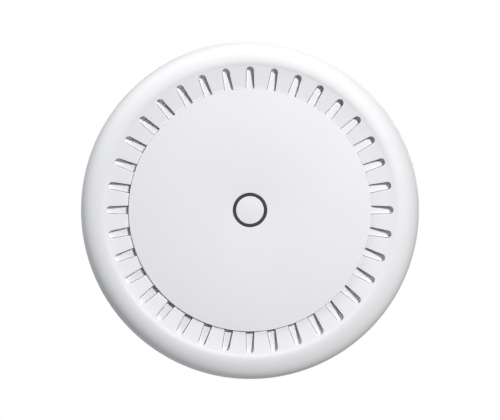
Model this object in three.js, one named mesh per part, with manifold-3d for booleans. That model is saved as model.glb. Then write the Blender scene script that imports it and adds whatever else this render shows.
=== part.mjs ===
// A round ceiling access point: a wireless access point that hangs face down from a twist-lock plate.
//
// Frame: millimetres, +Z up. The origin is the centre of the mounting plate's top face, so the
// ceiling is the plane z = 0 and everything hangs below it. The network sockets look towards -Y.
// The plate stays on the ceiling and the housing, with all that is in it, turns about Z to come off.

import * as THREE from 'three';
import { mergeVertices } from 'three/addons/utils/BufferGeometryUtils.js';
import Module from 'manifold-3d';

const wasm = await Module();
wasm.setup();

// ---------------------------------------------------------------------------------------------
// Driving dimensions
// ---------------------------------------------------------------------------------------------

const OUTER_RADIUS = 95.5;
const DEPTH = 41;
const WALL = 2;
const GAP = 0.3; // clearance between neighbouring pieces that slide or snap together
const FIT = 0.15; // clearance between flat faces that are screwed or glued together
const CUT = 1; // how far a cutter runs past the face that it opens

const BIG_SIDES = 72; // facets of the two housings and the disc
const MIDDLE_SIDES = 36; // facets of the large round pieces inside
const SMALL_SIDES = 12; // facets of screws, holes and posts

// Face: a thick round rim, then a shallow dished ring with the vents, then a flat disc.
const RIM_RADIUS = 84; // where the rim is deepest
const RIM_LEVEL = -DEPTH;
const WIDEST_LEVEL = -29; // where the housing reaches its full radius
const DISC_RADIUS = 68.2;
const DISC_LEVEL = -39;
const DISC_THICKNESS = 2.4;
const SEAT_RADIUS = DISC_RADIUS + FIT;
const SEAT_LEVEL = DISC_LEVEL + DISC_THICKNESS + GAP; // the housing behind the disc
const SEAT_BACK = SEAT_LEVEL + 1.8;
const DISH_LEVEL = DISC_LEVEL + 1; // the dished ring beside the disc
const DISH_END = 81.3; // where the dished ring meets the rim
const DISH_CONE = 1.5; // what the ring gains on the way as a plain cone
const DISH_SWEEP = 0.8; // and what its sweep up to the rim adds
const DISH_WALL = 1.7;

// Vents: flutes with a flat floor and a round outer end, spread evenly round the dished ring. The
// air goes on through windows in the seat, which the edge of the disc hides.
const VENT_COUNT = 36;
const VENT_END = 80.7;
const VENT_WIDTH_AT_DISC = 4.8;
const VENT_WIDTH_AT_END = 4.2;
const VENT_WALL = 1.4; // round a flute, behind the dished ring
const WINDOW_START = 61.5;
const WINDOW_END = 67;

// Status light in the middle of the disc.
const LIGHT_INNER = 8.05;
const LIGHT_OUTER = 9.45;
const LIGHT_GAP = 0.25;
const LIGHT_TOP = -24;

// Parting line between the two housings, and the rear housing.
const PARTING_LEVEL = -16.6;
const PARTING_RADIUS = 92.5;
const BACK_LEVEL = -1; // the rear housing stops just short of the ceiling
const BACK_RADIUS = 83.8;
const BACK_CORNER = 1.4;
const RECESS_RADIUS = 64.5; // round pocket that takes the mounting plate
const RECESS_LEVEL = -6;
const RECESS_BACK = RECESS_LEVEL - 1.6;

// Port bay: a trough in the rear housing, open to the ceiling, that the cables run in.
const BAY_HALF_WIDTH = 26;
const BAY_WALL = 1.6;
const BAY_INNER_END = -30; // Y of the wall that holds the sockets
const BAY_OUTER_RADIUS = 82;
const BAY_FLOOR = -19.2;
const EXIT_HALF_WIDTH = 9; // cable exit through the side of the housing
const EXIT_FLOOR = -14;
const EXIT_START = -80; // Y of the exit's inner end

// Mounting plate.
const PLATE_RADIUS = 60;
const PLATE_THICKNESS = 1.6;
const PLATE_CENTRE_RADIUS = 46;
const PLATE_STEP = 3; // run of the sloping wall between the centre and the flange
const FLANGE_LEVEL = -3.6;
const FLANGE_INNER = PLATE_CENTRE_RADIUS + PLATE_STEP;
const HOOK_ANGLES = [90, 210, 330];
const HOOK_HALF_ANGLE = 5;
const HOOK_TOE_INNER = 55.5;
const HOOK_STEM = [PLATE_RADIUS + 0.4, PLATE_RADIUS + 2.6];
const HOOK_TOP = -1.2;
const UNLOCK_ANGLE = 15; // the twist that brings the hooks to the notches
const SCREW_SLOT_ANGLES = [0, 60, 120, 180];
const SCREW_SLOT = { radius: 36, length: 12, width: 4 };
const CABLE_WINDOW = { halfWidth: 10, near: -26, far: -42 };

// Inside: the levels of the stack, from the ceiling side down.
const BOARD_TOP = -21.2;
const BOARD_THICKNESS = 1.6;
const BOARD_RADIUS = 57;
const BOARD_BOTTOM = BOARD_TOP - BOARD_THICKNESS;
const REFLECTOR_TOP = -26.2;
const REFLECTOR_THICKNESS = 1;
const REFLECTOR_BOTTOM = REFLECTOR_TOP - REFLECTOR_THICKNESS;
const REFLECTOR_RADIUS = 58;
const POST_PLACES = [[42, 28], [-42, 28], [42, -22], [-42, -22]];
const POST_RADIUS = 3.2;
const POST_HOLE = 1.5;
const THROUGH_HOLE = POST_HOLE + 0.1; // in the pieces that the board screws pass

// Housing screws: they sit between vents, so their bosses stand behind a solid part of the face.
const HOUSING_SCREW_RADIUS = 75;
const HOUSING_SCREW_ANGLES = [45, 135, 225, 315];
const BOSS_RADIUS = 3.6;
const BOSS_TOP = -9.5;
const HEAD_SEAT = -3.6;
const COUNTERBORE_RADIUS = 3.3;

// Network sockets.
const JACK = { width: 16, height: 13, length: 21, spacing: 18.4 };
const JACK_FRONT = BAY_INNER_END + 0.2;
const JACK_BOTTOM = BOARD_TOP + FIT;
const SOCKET = { width: 11.9, bottom: -18.9, top: -10.5, depth: 14.4, latchWidth: 6, latchTop: -9 };

// Blank rating label, in a pocket at the back.
const LABEL = { halfLength: 17, halfHeight: 6.5, y: 74.5, floor: BACK_LEVEL - 0.5, thickness: 0.3 };

const CONTACT = { count: 8, pitch: 1.02, width: 0.5, thickness: 0.6, reach: 9 };

// Reset button, beside the sockets.
const BUTTON = { x: 22.2, z: -17, radius: 1.6, proud: 0.5, collar: 2.6, length: 5.6 };

// ---------------------------------------------------------------------------------------------
// Shape helpers
// ---------------------------------------------------------------------------------------------

// Turns a closed three.js geometry into a solid whose faces look outwards.
function solid(geometry) {
  geometry.deleteAttribute('normal');
  geometry.deleteAttribute('uv');
  const merged = mergeVertices(geometry, 1e-4);
  const points = merged.attributes.position.array;
  const corner = (index) => new THREE.Vector3().fromArray(points, 3 * index);
  const triangles = [];
  let sixVolumes = 0;
  for (let i = 0; i < merged.index.count; i += 3) {
    const [a, b, c] = [0, 1, 2].map((step) => merged.index.getX(i + step));
    if (a !== b && b !== c && c !== a) {
      triangles.push([a, b, c]);
      sixVolumes += corner(a).dot(corner(b).cross(corner(c)));
    }
  }
  const outward = sixVolumes > 0 ? triangles : triangles.map(([a, b, c]) => [a, c, b]);
  return new wasm.Manifold(new wasm.Mesh({
    numProp: 3,
    vertProperties: new Float32Array(points),
    triVerts: new Uint32Array(outward.flat()),
  }));
}

// A block between two corners.
function block([x0, x1], [y0, y1], [z0, z1]) {
  const geometry = new THREE.BoxGeometry(x1 - x0, y1 - y0, z1 - z0);
  return solid(geometry.translate((x0 + x1) / 2, (y0 + y1) / 2, (z0 + z1) / 2));
}

// An upright rod between two levels.
function rod(radius, [z0, z1], x = 0, y = 0, sides = SMALL_SIDES) {
  const geometry = new THREE.CylinderGeometry(radius, radius, z1 - z0, sides);
  return solid(geometry.rotateX(Math.PI / 2).translate(x, y, (z0 + z1) / 2));
}

// A rod along Y between two distances.
function rodAlongY(radius, [y0, y1], x, z, sides = SMALL_SIDES) {
  const geometry = new THREE.CylinderGeometry(radius, radius, y1 - y0, sides);
  return solid(geometry.translate(x, (y0 + y1) / 2, z));
}

// A profile of [radius, level] points turned about Z. It starts and ends on the axis, or closes.
function turned(profile, sides = BIG_SIDES) {
  const points = profile.map(([radius, level]) => new THREE.Vector2(radius, level));
  return solid(new THREE.LatheGeometry(points, sides).rotateX(Math.PI / 2));
}

// A closed ring of the given section, whose first point is repeated at its end.
function turnedRing(profile, sides = BIG_SIDES) {
  return turned([...profile, profile[0]], sides);
}

// A flat outline in X and Y, raised between two levels.
function raised(shape, [z0, z1], curveSegments = 3) {
  const options = { depth: z1 - z0, bevelEnabled: false, curveSegments };
  return solid(new THREE.ExtrudeGeometry(shape, options).translate(0, 0, z0));
}

// A sector of a flat ring, centred on an angle in degrees.
function ringSector([inner, outer], angle, halfAngle, levels) {
  const middle = THREE.MathUtils.degToRad(angle);
  const half = THREE.MathUtils.degToRad(halfAngle);
  const shape = new THREE.Shape();
  shape.absarc(0, 0, outer, middle - half, middle + half, false);
  shape.absarc(0, 0, inner, middle + half, middle - half, true);
  return raised(shape, levels);
}

// A slot with round ends, centred on a point and turned by an angle in degrees.
function longHole(length, width, levels, x, y, angle) {
  const half = (length - width) / 2;
  const shape = new THREE.Shape();
  shape.absarc(half, 0, width / 2, -Math.PI / 2, Math.PI / 2, false);
  shape.absarc(-half, 0, width / 2, Math.PI / 2, 1.5 * Math.PI, false);
  return raised(shape, levels).rotate([0, 0, angle]).translate([x, y, 0]);
}

const joined = (solids) => solids.reduce((whole, next) => whole.add(next));
const cutBy = (whole, cutters) => cutters.reduce((rest, cutter) => rest.subtract(cutter), whole);

// The point at a radius and an angle in degrees.
function polar(radius, angle) {
  const radians = THREE.MathUtils.degToRad(angle);
  return [radius * Math.cos(radians), radius * Math.sin(radians)];
}

// Values spread evenly from 0 to 1, both included.
const steps = (count) => Array.from({ length: count + 1 }, (_, index) => index / count);

// ---------------------------------------------------------------------------------------------
// Assembly
// ---------------------------------------------------------------------------------------------

const accessPoint = new THREE.Group();

const PLASTIC_WHITE = { color: 0xeeeef0, roughness: 0.45, metalness: 0 };
const LIGHT_GREY = { color: 0x424346, roughness: 0.35, metalness: 0 };
const STEEL = { color: 0xb9bcc0, roughness: 0.35, metalness: 1 };
const ALUMINIUM = { color: 0xc8cacc, roughness: 0.4, metalness: 1 };
const BRASS = { color: 0xc9a860, roughness: 0.35, metalness: 1 };
const BOARD_GREEN = { color: 0x1f5a3c, roughness: 0.5, metalness: 0 };
const CHIP_BLACK = { color: 0x202124, roughness: 0.6, metalness: 0 };
const COIL_BROWN = { color: 0x6b3f22, roughness: 0.5, metalness: 0 };
const CABLE_GREY = { color: 0x3a3c40, roughness: 0.5, metalness: 0 };
const PAD_BLUE = { color: 0x8fb2c8, roughness: 0.8, metalness: 0 };
const LED_WHITE = { color: 0xf4f2e4, roughness: 0.3, metalness: 0 };
const PAPER = { color: 0xf2f2ee, roughness: 0.7, metalness: 0 };

// Adds one named piece to the access point.
function add(name, shape, finish, [x, y, z] = [0, 0, 0], angle = 0) {
  const mesh = shape.getMesh();
  const geometry = new THREE.BufferGeometry();
  geometry.setAttribute('position', new THREE.BufferAttribute(mesh.vertProperties, 3));
  geometry.setIndex(new THREE.BufferAttribute(mesh.triVerts, 1));
  geometry.computeVertexNormals();
  const piece = new THREE.Mesh(geometry, new THREE.MeshStandardMaterial(finish));
  piece.name = name;
  piece.position.set(x, y, z);
  piece.rotation.z = THREE.MathUtils.degToRad(angle);
  accessPoint.add(piece);
}

// ---------------------------------------------------------------------------------------------
// Mounting plate: a shallow steel pan, screwed to the ceiling
// ---------------------------------------------------------------------------------------------

function mountingPlate() {
  const flangeBottom = FLANGE_LEVEL - PLATE_THICKNESS;
  const pan = turned([
    [0, 0],
    [PLATE_CENTRE_RADIUS, 0],
    [FLANGE_INNER, FLANGE_LEVEL],
    [PLATE_RADIUS, FLANGE_LEVEL],
    [PLATE_RADIUS, flangeBottom],
    [FLANGE_INNER - PLATE_THICKNESS / 2, flangeBottom],
    [PLATE_CENTRE_RADIUS - PLATE_THICKNESS / 2, -PLATE_THICKNESS],
    [0, -PLATE_THICKNESS],
  ], MIDDLE_SIDES);
  const through = [flangeBottom - CUT, CUT];
  const notchHalf = HOOK_HALF_ANGLE + 0.8;
  const notches = HOOK_ANGLES.map((angle) => (
    ringSector([HOOK_TOE_INNER - 0.6, PLATE_RADIUS + CUT], angle - UNLOCK_ANGLE, notchHalf, through)
  ));
  const stopHalf = 1;
  const stopOffset = HOOK_HALF_ANGLE + stopHalf + 0.5; // each hook rests half a degree from its stop
  const stopLevels = [FLANGE_LEVEL - CUT, HOOK_TOP];
  const stops = HOOK_ANGLES.map((angle) => (
    ringSector([HOOK_TOE_INNER, PLATE_RADIUS - 0.2], angle + stopOffset, stopHalf, stopLevels)
  ));
  const screwSlots = SCREW_SLOT_ANGLES.map((angle) => {
    const place = polar(SCREW_SLOT.radius, angle);
    return longHole(SCREW_SLOT.length, SCREW_SLOT.width, through, ...place, angle + 90);
  });
  const { halfWidth, near, far } = CABLE_WINDOW;
  const window = block([-halfWidth, halfWidth], [far, near], through);
  return cutBy(joined([pan, ...stops]), [...notches, ...screwSlots, window]);
}

add('mounting_plate', mountingPlate(), STEEL);

// ---------------------------------------------------------------------------------------------
// Front housing: rim, dished ring with vents, and the seat behind the disc
// ---------------------------------------------------------------------------------------------

// Level of the dished ring at a radius.
function dishLevel(radius) {
  const along = (radius - SEAT_RADIUS) / (DISH_END - SEAT_RADIUS);
  return DISH_LEVEL - DISH_CONE * along - DISH_SWEEP * along ** 5;
}

// Points along the dished ring, from one radius to another, moved up by an offset.
function dishCurve(from, to, count, offset = 0) {
  return steps(count).map((t) => {
    const radius = THREE.MathUtils.lerp(from, to, t);
    return [radius, dishLevel(radius) + offset];
  });
}

// Points round the inner side of the rim, from the dished ring to the deepest circle.
function rimFillet(count) {
  const across = RIM_RADIUS - DISH_END;
  const slope = 2 * Math.atan((dishLevel(DISH_END) - RIM_LEVEL) / across);
  const radius = across / Math.sin(slope);
  return steps(count).map((t) => {
    const tilt = slope * (1 - t);
    return [RIM_RADIUS - radius * Math.sin(tilt), RIM_LEVEL + radius * (1 - Math.cos(tilt))];
  });
}

// Points round the outer quarter of the rim, from its deepest circle to the full radius.
function rimRoll(inset, count) {
  const across = OUTER_RADIUS - RIM_RADIUS - inset;
  const down = WIDEST_LEVEL - RIM_LEVEL - inset;
  return steps(count).map((t) => {
    const turn = t * Math.PI / 2;
    return [RIM_RADIUS + across * Math.sin(turn), WIDEST_LEVEL - down * Math.cos(turn)];
  });
}

// Points up the side of the front housing, which leans in towards the parting line.
function sideCurve(inset, count) {
  return steps(count).slice(1).map((t) => [
    OUTER_RADIUS - inset - (OUTER_RADIUS - PARTING_RADIUS) * t * t,
    THREE.MathUtils.lerp(WIDEST_LEVEL, PARTING_LEVEL, t),
  ]);
}

// The outline of a vent along +X from a starting radius, with its sides moved out by a margin.
function ventOutline(start, margin) {
  const tip = VENT_WIDTH_AT_END / 2;
  const tipCentre = VENT_END - tip;
  const spread = (VENT_WIDTH_AT_DISC - VENT_WIDTH_AT_END) / 2 / (tipCentre - DISC_RADIUS);
  const startHalf = tip + spread * (tipCentre - start) + margin;
  const shape = new THREE.Shape();
  shape.moveTo(start, startHalf);
  shape.lineTo(start, -startHalf);
  shape.absarc(tipCentre, 0, tip + margin, -Math.PI / 2, Math.PI / 2, false);
  return shape;
}

// Copies of a solid that lies along +X, one for each vent.
const atEachVent = (shape) => steps(VENT_COUNT).slice(1).map((t) => shape.rotate([0, 0, 360 * t]));

// The troughs behind the dished ring that hold the floors of the vents.
function ventTroughs() {
  const trough = raised(ventOutline(SEAT_RADIUS - CUT, VENT_WALL), [RIM_LEVEL, SEAT_BACK], 2);
  const middle = DISH_WALL / 2;
  const inside = SEAT_RADIUS - WALL;
  const outside = RIM_RADIUS - CUT;
  const behindDish = turnedRing([
    [inside, SEAT_BACK],
    [inside, SEAT_LEVEL + middle],
    [SEAT_RADIUS, SEAT_LEVEL + middle],
    ...dishCurve(SEAT_RADIUS, DISH_END, 3, middle),
    [outside, dishLevel(DISH_END) + middle],
    [outside, SEAT_BACK],
  ]);
  return joined(atEachVent(trough)).intersect(behindDish);
}

function frontHousing() {
  const lightHole = LIGHT_OUTER + 0.8;
  const shell = turnedRing([
    [lightHole, SEAT_LEVEL],
    [SEAT_RADIUS, SEAT_LEVEL],
    ...dishCurve(SEAT_RADIUS, DISH_END, 4).slice(0, -1),
    ...rimFillet(2),
    ...rimRoll(0, 5).slice(1),
    ...sideCurve(0, 2),
    ...sideCurve(WALL, 1).reverse(),
    ...rimRoll(WALL, 2).reverse(),
    ...dishCurve(SEAT_RADIUS + 2, DISH_END - 1.5, 1, DISH_WALL).reverse(),
    [SEAT_RADIUS, SEAT_BACK],
    [lightHole, SEAT_BACK],
  ]);
  const bosses = HOUSING_SCREW_ANGLES.map((angle) => (
    rod(BOSS_RADIUS, [dishLevel(HOUSING_SCREW_RADIUS) + 1, BOSS_TOP], ...polar(HOUSING_SCREW_RADIUS, angle))
  ));
  const pilots = HOUSING_SCREW_ANGLES.map((angle) => (
    rod(POST_HOLE, [BOSS_TOP - 12, BOSS_TOP + CUT], ...polar(HOUSING_SCREW_RADIUS, angle))
  ));
  const flute = raised(ventOutline(WINDOW_END, 0), [RIM_LEVEL, SEAT_LEVEL], 2);
  const half = VENT_WIDTH_AT_DISC / 2;
  const window = block([WINDOW_START, WINDOW_END], [-half, half], [SEAT_LEVEL - CUT, SEAT_BACK + CUT]);
  const body = joined([shell, ventTroughs(), ...bosses]);
  return cutBy(body, [...atEachVent(flute), ...atEachVent(window), ...pilots]);
}

add('front_housing', frontHousing(), PLASTIC_WHITE);

// ---------------------------------------------------------------------------------------------
// Face: the disc, the status light ring and the cap inside the ring
// ---------------------------------------------------------------------------------------------

// The disc, whose outer part is thinner so that air can pass behind it.
function faceDisc() {
  const edge = 0.3;
  const back = DISC_LEVEL + DISC_THICKNESS;
  const thinBack = back - 1;
  const hole = LIGHT_OUTER + LIGHT_GAP;
  return turnedRing([
    [hole, back],
    [WINDOW_START - CUT, back],
    [WINDOW_START - CUT, thinBack],
    [DISC_RADIUS, thinBack],
    [DISC_RADIUS, DISC_LEVEL + edge],
    [DISC_RADIUS - edge, DISC_LEVEL],
    [hole, DISC_LEVEL],
  ]);
}

// The light guide: a tube with a web across it, held behind the seat by its flange.
function lightRing() {
  const face = DISC_LEVEL + 0.1;
  const flange = SEAT_BACK + FIT;
  const flangeRadius = LIGHT_OUTER + 5.5;
  const web = [face + 2.9, face + 4.3];
  return turned([
    [0, web[0]],
    [LIGHT_INNER, web[0]],
    [LIGHT_INNER, face],
    [LIGHT_OUTER, face],
    [LIGHT_OUTER, flange],
    [flangeRadius, flange],
    [flangeRadius, flange + 1],
    [LIGHT_OUTER, flange + 1],
    [LIGHT_OUTER, LIGHT_TOP],
    [LIGHT_INNER, LIGHT_TOP],
    [LIGHT_INNER, web[1]],
    [0, web[1]],
  ], MIDDLE_SIDES);
}

// The cap inside the light guide, glued to its web by a stem.
function centreCap() {
  const radius = LIGHT_INNER - LIGHT_GAP;
  const back = DISC_LEVEL + 1.4;
  const stem = 5;
  const stemEnd = DISC_LEVEL + 2.7;
  return turned([
    [0, DISC_LEVEL],
    [radius, DISC_LEVEL],
    [radius, back],
    [stem, back],
    [stem, stemEnd],
    [0, stemEnd],
  ], MIDDLE_SIDES);
}

add('face_disc', faceDisc(), PLASTIC_WHITE);
add('light_ring', lightRing(), LIGHT_GREY);
add('centre_cap', centreCap(), PLASTIC_WHITE);

// ---------------------------------------------------------------------------------------------
// Rear housing: the shell on the ceiling side, with the plate recess and the port bay
// ---------------------------------------------------------------------------------------------

const REAR_EDGE = PARTING_LEVEL + GAP;
const EXIT_LIMITS = { outer: -OUTER_RADIUS - CUT, top: BACK_LEVEL + CUT };

// The outside of the rear housing, from the parting line to the back.
const REAR_OUTSIDE = [
  [PARTING_RADIUS - 0.2, REAR_EDGE],
  [BACK_RADIUS + BACK_CORNER, BACK_LEVEL - BACK_CORNER],
  [BACK_RADIUS, BACK_LEVEL],
];

// That outside as a full solid, to trim the pieces that end flush with it.
const rearOutline = () => turned([[0, REAR_EDGE], ...REAR_OUTSIDE, [0, BACK_LEVEL]]);

// One hook of the twist lock, which reaches over the plate's flange.
function hook(angle) {
  const toeBottom = FLANGE_LEVEL + GAP;
  const stem = ringSector(HOOK_STEM, angle, HOOK_HALF_ANGLE, [RECESS_LEVEL - 0.5, HOOK_TOP]);
  const toe = ringSector([HOOK_TOE_INNER, HOOK_STEM[1]], angle, HOOK_HALF_ANGLE, [toeBottom, HOOK_TOP]);
  return stem.add(toe);
}

// The space inside the port bay.
function baySpace() {
  const levels = [BAY_FLOOR, CUT];
  const trough = block([-BAY_HALF_WIDTH, BAY_HALF_WIDTH], [-OUTER_RADIUS, BAY_INNER_END], levels);
  return trough.intersect(rod(BAY_OUTER_RADIUS, levels, 0, 0, BIG_SIDES));
}

// The walls and floor round the port bay, before the space inside is cut.
function bayWalls() {
  const half = BAY_HALF_WIDTH + BAY_WALL;
  const levels = [BAY_FLOOR - BAY_WALL, BACK_LEVEL - WALL / 2];
  const trough = block([-half, half], [-OUTER_RADIUS, BAY_INNER_END + BAY_WALL], levels);
  return trough.intersect(rod(BAY_OUTER_RADIUS + BAY_WALL, levels, 0, 0, BIG_SIDES));
}

function rearHousing() {
  const lip = 2.4;
  const insideWall = PARTING_RADIUS - WALL - 0.4;
  const back = BACK_LEVEL - WALL;
  const shell = turned([
    [0, RECESS_LEVEL],
    [RECESS_RADIUS, RECESS_LEVEL],
    [RECESS_RADIUS, BACK_LEVEL],
    ...[...REAR_OUTSIDE].reverse(),
    [insideWall, REAR_EDGE],
    [insideWall - 0.4, REAR_EDGE - lip],
    [insideWall - WALL, REAR_EDGE - lip],
    [BACK_RADIUS - WALL / 2, back],
    [RECESS_RADIUS + WALL, back],
    [RECESS_RADIUS + WALL, RECESS_BACK],
    [0, RECESS_BACK],
  ]);
  const cheekHalf = EXIT_HALF_WIDTH + BAY_WALL;
  const cheekLevels = [EXIT_FLOOR - BAY_WALL, BACK_LEVEL];
  const cheeks = block([-cheekHalf, cheekHalf], [EXIT_LIMITS.outer, EXIT_START - WALL], cheekLevels);
  const columnLevels = [BOSS_TOP + GAP, BACK_LEVEL - WALL / 2];
  const columns = HOUSING_SCREW_ANGLES.map((angle) => (
    rod(BOSS_RADIUS + 1.2, columnLevels, ...polar(HOUSING_SCREW_RADIUS, angle))
  ));
  const posts = POST_PLACES.map(([x, y]) => (
    rod(POST_RADIUS, [BOARD_TOP + GAP, RECESS_BACK + 0.5], x, y)
  ));
  const recess = rod(RECESS_RADIUS, [RECESS_LEVEL, CUT], 0, 0, BIG_SIDES);
  const body = joined([shell, bayWalls(), cheeks.intersect(rearOutline()), ...columns, ...posts]);
  return cutBy(body, [recess, baySpace()])
    .add(joined(HOOK_ANGLES.map(hook)))
    .subtract(joined(rearCutters()));
}

// Everything that is cut out of the rear housing after its walls are made.
function rearCutters() {
  const windowHalf = JACK.width / 2 + GAP;
  const windowDepth = [JACK_FRONT - GAP, JACK_FRONT + WALL];
  const windowLevels = [BOARD_TOP, JACK_BOTTOM + JACK.height + FIT];
  const windows = [-1, 1].map((side) => {
    const x = side * JACK.spacing / 2;
    return block([x - windowHalf, x + windowHalf], windowDepth, windowLevels);
  });
  const exitLevels = [EXIT_FLOOR, EXIT_LIMITS.top];
  const exit = block([-EXIT_HALF_WIDTH, EXIT_HALF_WIDTH], [EXIT_LIMITS.outer, EXIT_START], exitLevels);
  const buttonWall = [BAY_INNER_END - CUT, BAY_INNER_END + BAY_WALL + CUT];
  const buttonHole = rodAlongY(BUTTON.radius + GAP, buttonWall, BUTTON.x, BUTTON.z);
  const screwHoles = HOUSING_SCREW_ANGLES.flatMap((angle) => {
    const place = polar(HOUSING_SCREW_RADIUS, angle);
    return [
      rod(POST_HOLE + GAP, [BOSS_TOP, CUT], ...place),
      rod(COUNTERBORE_RADIUS, [HEAD_SEAT, CUT], ...place),
    ];
  });
  const postHoleEnd = BOARD_TOP + 9;
  const postHoles = POST_PLACES.map(([x, y]) => rod(POST_HOLE, [BOARD_TOP - CUT, postHoleEnd], x, y));
  const labelPocket = block(
    [-LABEL.halfLength - GAP, LABEL.halfLength + GAP],
    [LABEL.y - LABEL.halfHeight - GAP, LABEL.y + LABEL.halfHeight + GAP],
    [LABEL.floor, CUT],
  );
  return [...windows, exit, buttonHole, ...screwHoles, ...postHoles, labelPocket];
}

function ratingLabel() {
  return block(
    [-LABEL.halfLength, LABEL.halfLength],
    [LABEL.y - LABEL.halfHeight, LABEL.y + LABEL.halfHeight],
    [LABEL.floor + 0.1, LABEL.floor + 0.1 + LABEL.thickness],
  );
}

// The plug in the cable exit, which pulls straight out for a cable that runs along the ceiling.
function cableExitCover() {
  const half = EXIT_HALF_WIDTH - GAP;
  const levels = [EXIT_FLOOR + GAP, BACK_LEVEL];
  const inner = EXIT_START - 3;
  const front = block([-half, half], [EXIT_LIMITS.outer, inner], levels);
  const windowHalf = half - WALL;
  const fingerWindow = block([-windowHalf, windowHalf], [inner - 4, inner + CUT], [levels[0] + WALL, CUT]);
  return front.intersect(rearOutline()).subtract(fingerWindow);
}

add('rear_housing', rearHousing(), PLASTIC_WHITE);
add('rating_label', ratingLabel(), PAPER);
add('cable_exit_cover', cableExitCover(), PLASTIC_WHITE);

// ---------------------------------------------------------------------------------------------
// Screws
// ---------------------------------------------------------------------------------------------

// A pan-head screw whose head rests at level 0, with its shaft along +Z or -Z and a cross recess.
function screw(headRadius, headHeight, shaftRadius, shaftLength) {
  const profile = [
    [0, headHeight],
    [headRadius * 0.7, headHeight],
    [headRadius, headHeight * 0.5],
    [headRadius, 0],
    [shaftRadius, 0],
    [shaftRadius, -shaftLength + shaftRadius],
    [0, -shaftLength],
  ];
  const arm = headRadius * 0.5;
  const thin = headRadius * 0.12;
  const recess = [headHeight * 0.4, headHeight + CUT];
  const cross = [block([-arm, arm], [-thin, thin], recess), block([-thin, thin], [-arm, arm], recess)];
  return cutBy(turned(profile, SMALL_SIDES), cross);
}

const housingScrew = screw(2.8, 1.8, 1.2, 16);
HOUSING_SCREW_ANGLES.forEach((angle, index) => {
  const [x, y] = polar(HOUSING_SCREW_RADIUS, angle);
  add(`housing_screw_${index + 1}`, housingScrew, STEEL, [x, y, HEAD_SEAT + FIT]);
});

const boardScrew = screw(2.6, 1.5, 1.2, 13).rotate([180, 0, 0]);
const SPACER_RADIUS = 2.8;
const spacer = turnedRing([
  [THROUGH_HOLE, REFLECTOR_TOP + FIT],
  [SPACER_RADIUS, REFLECTOR_TOP + FIT],
  [SPACER_RADIUS, BOARD_BOTTOM - FIT],
  [THROUGH_HOLE, BOARD_BOTTOM - FIT],
], SMALL_SIDES);
POST_PLACES.forEach(([x, y], index) => {
  add(`board_screw_${index + 1}`, boardScrew, STEEL, [x, y, REFLECTOR_BOTTOM - FIT]);
  add(`board_spacer_${index + 1}`, spacer, BRASS, [x, y, 0]);
});

// ---------------------------------------------------------------------------------------------
// Main board and what is soldered to it
// ---------------------------------------------------------------------------------------------

function mainBoard() {
  const disc = rod(BOARD_RADIUS, [BOARD_BOTTOM, BOARD_TOP], 0, 0, MIDDLE_SIDES);
  const through = [BOARD_BOTTOM - CUT, BOARD_TOP + CUT];
  const flat = BOARD_RADIUS - 5;
  const flatEnd = block([-BOARD_RADIUS, BOARD_RADIUS], [flat, BOARD_RADIUS + CUT], through);
  const holes = POST_PLACES.map(([x, y]) => rod(THROUGH_HOLE, through, x, y));
  return cutBy(disc, [flatEnd, ...holes]);
}

// A block of the given [width, length, height] on the board's ceiling side, lifted by a distance.
function onTop([width, length, height], [x, y], lift = FIT) {
  const bottom = BOARD_TOP + lift;
  return block([x - width / 2, x + width / 2], [y - length / 2, y + length / 2], [bottom, bottom + height]);
}

// A block of the given [width, length, height] that hangs from the board's face side.
function underneath([width, length, height], [x, y]) {
  const top = BOARD_BOTTOM - FIT;
  return block([x - width / 2, x + width / 2], [y - length / 2, y + length / 2], [top - height, top]);
}

add('main_board', mainBoard(), BOARD_GREEN);

// The processor, with its pad and heat sink stacked on it.
const PROCESSOR = { size: [17, 17, 1.2], at: [0, 22] };
const PAD = { size: [16, 16, 0.8], lift: 2 * FIT + PROCESSOR.size[2] };
const SINK = { width: 56, length: 34, base: 2, fins: 8, finThickness: 1.4, clearance: 1.4 };

function heatSink() {
  const lift = PAD.lift + PAD.size[2] + FIT;
  const [x, y] = PROCESSOR.at;
  const base = onTop([SINK.width, SINK.length, SINK.base], PROCESSOR.at, lift);
  const finSize = [SINK.finThickness, SINK.length, RECESS_BACK - SINK.clearance - BOARD_TOP - lift];
  const reach = (SINK.width - SINK.finThickness) / 2;
  const fins = steps(SINK.fins - 1).map((t) => (
    onTop(finSize, [x + THREE.MathUtils.lerp(-reach, reach, t), y], lift)
  ));
  return joined([base, ...fins]);
}

add('processor', onTop(PROCESSOR.size, PROCESSOR.at), CHIP_BLACK);
add('thermal_pad', onTop(PAD.size, PROCESSOR.at, PAD.lift), PAD_BLUE);
add('heat_sink', heatSink(), ALUMINIUM);

// The plain packages: each with its size and its place on the board.
const MEMORY_SIZE = [10, 8, 1];
const LAN_TRANSFORMER_SIZE = [13, 8, 3];
const PACKAGES = [
  { name: 'memory_chip_1', size: MEMORY_SIZE, at: [-9, 46] },
  { name: 'memory_chip_2', size: MEMORY_SIZE, at: [5, 46] },
  { name: 'flash_chip', size: [7, 6, 1], at: [20, 46] },
  { name: 'lan_transformer_1', size: LAN_TRANSFORMER_SIZE, at: [-JACK.spacing / 2, -3] },
  { name: 'lan_transformer_2', size: LAN_TRANSFORMER_SIZE, at: [JACK.spacing / 2, -3] },
  { name: 'power_inductor', size: [8, 8, 4], at: [-40, 12] },
];
PACKAGES.forEach(({ name, size, at }) => add(name, onTop(size, at), CHIP_BLACK));

// The power transformer: a wound bobbin between the two halves of a ferrite core.
function powerTransformer() {
  const place = [-41, -4];
  const foot = onTop([14, 12, 2], place);
  const winding = onTop([10, 11, 7], place);
  const core = onTop([13, 5, 9], place);
  return joined([foot, winding, core]);
}

add('poe_transformer', powerTransformer(), COIL_BROWN);

// The electrolytic capacitors: cans with a chamfered top, in a row beside the sockets.
const CAPACITOR = { radius: 3.2, height: 8, chamfer: 0.4, x: 40, firstY: -6, pitch: 9, count: 3 };

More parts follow.
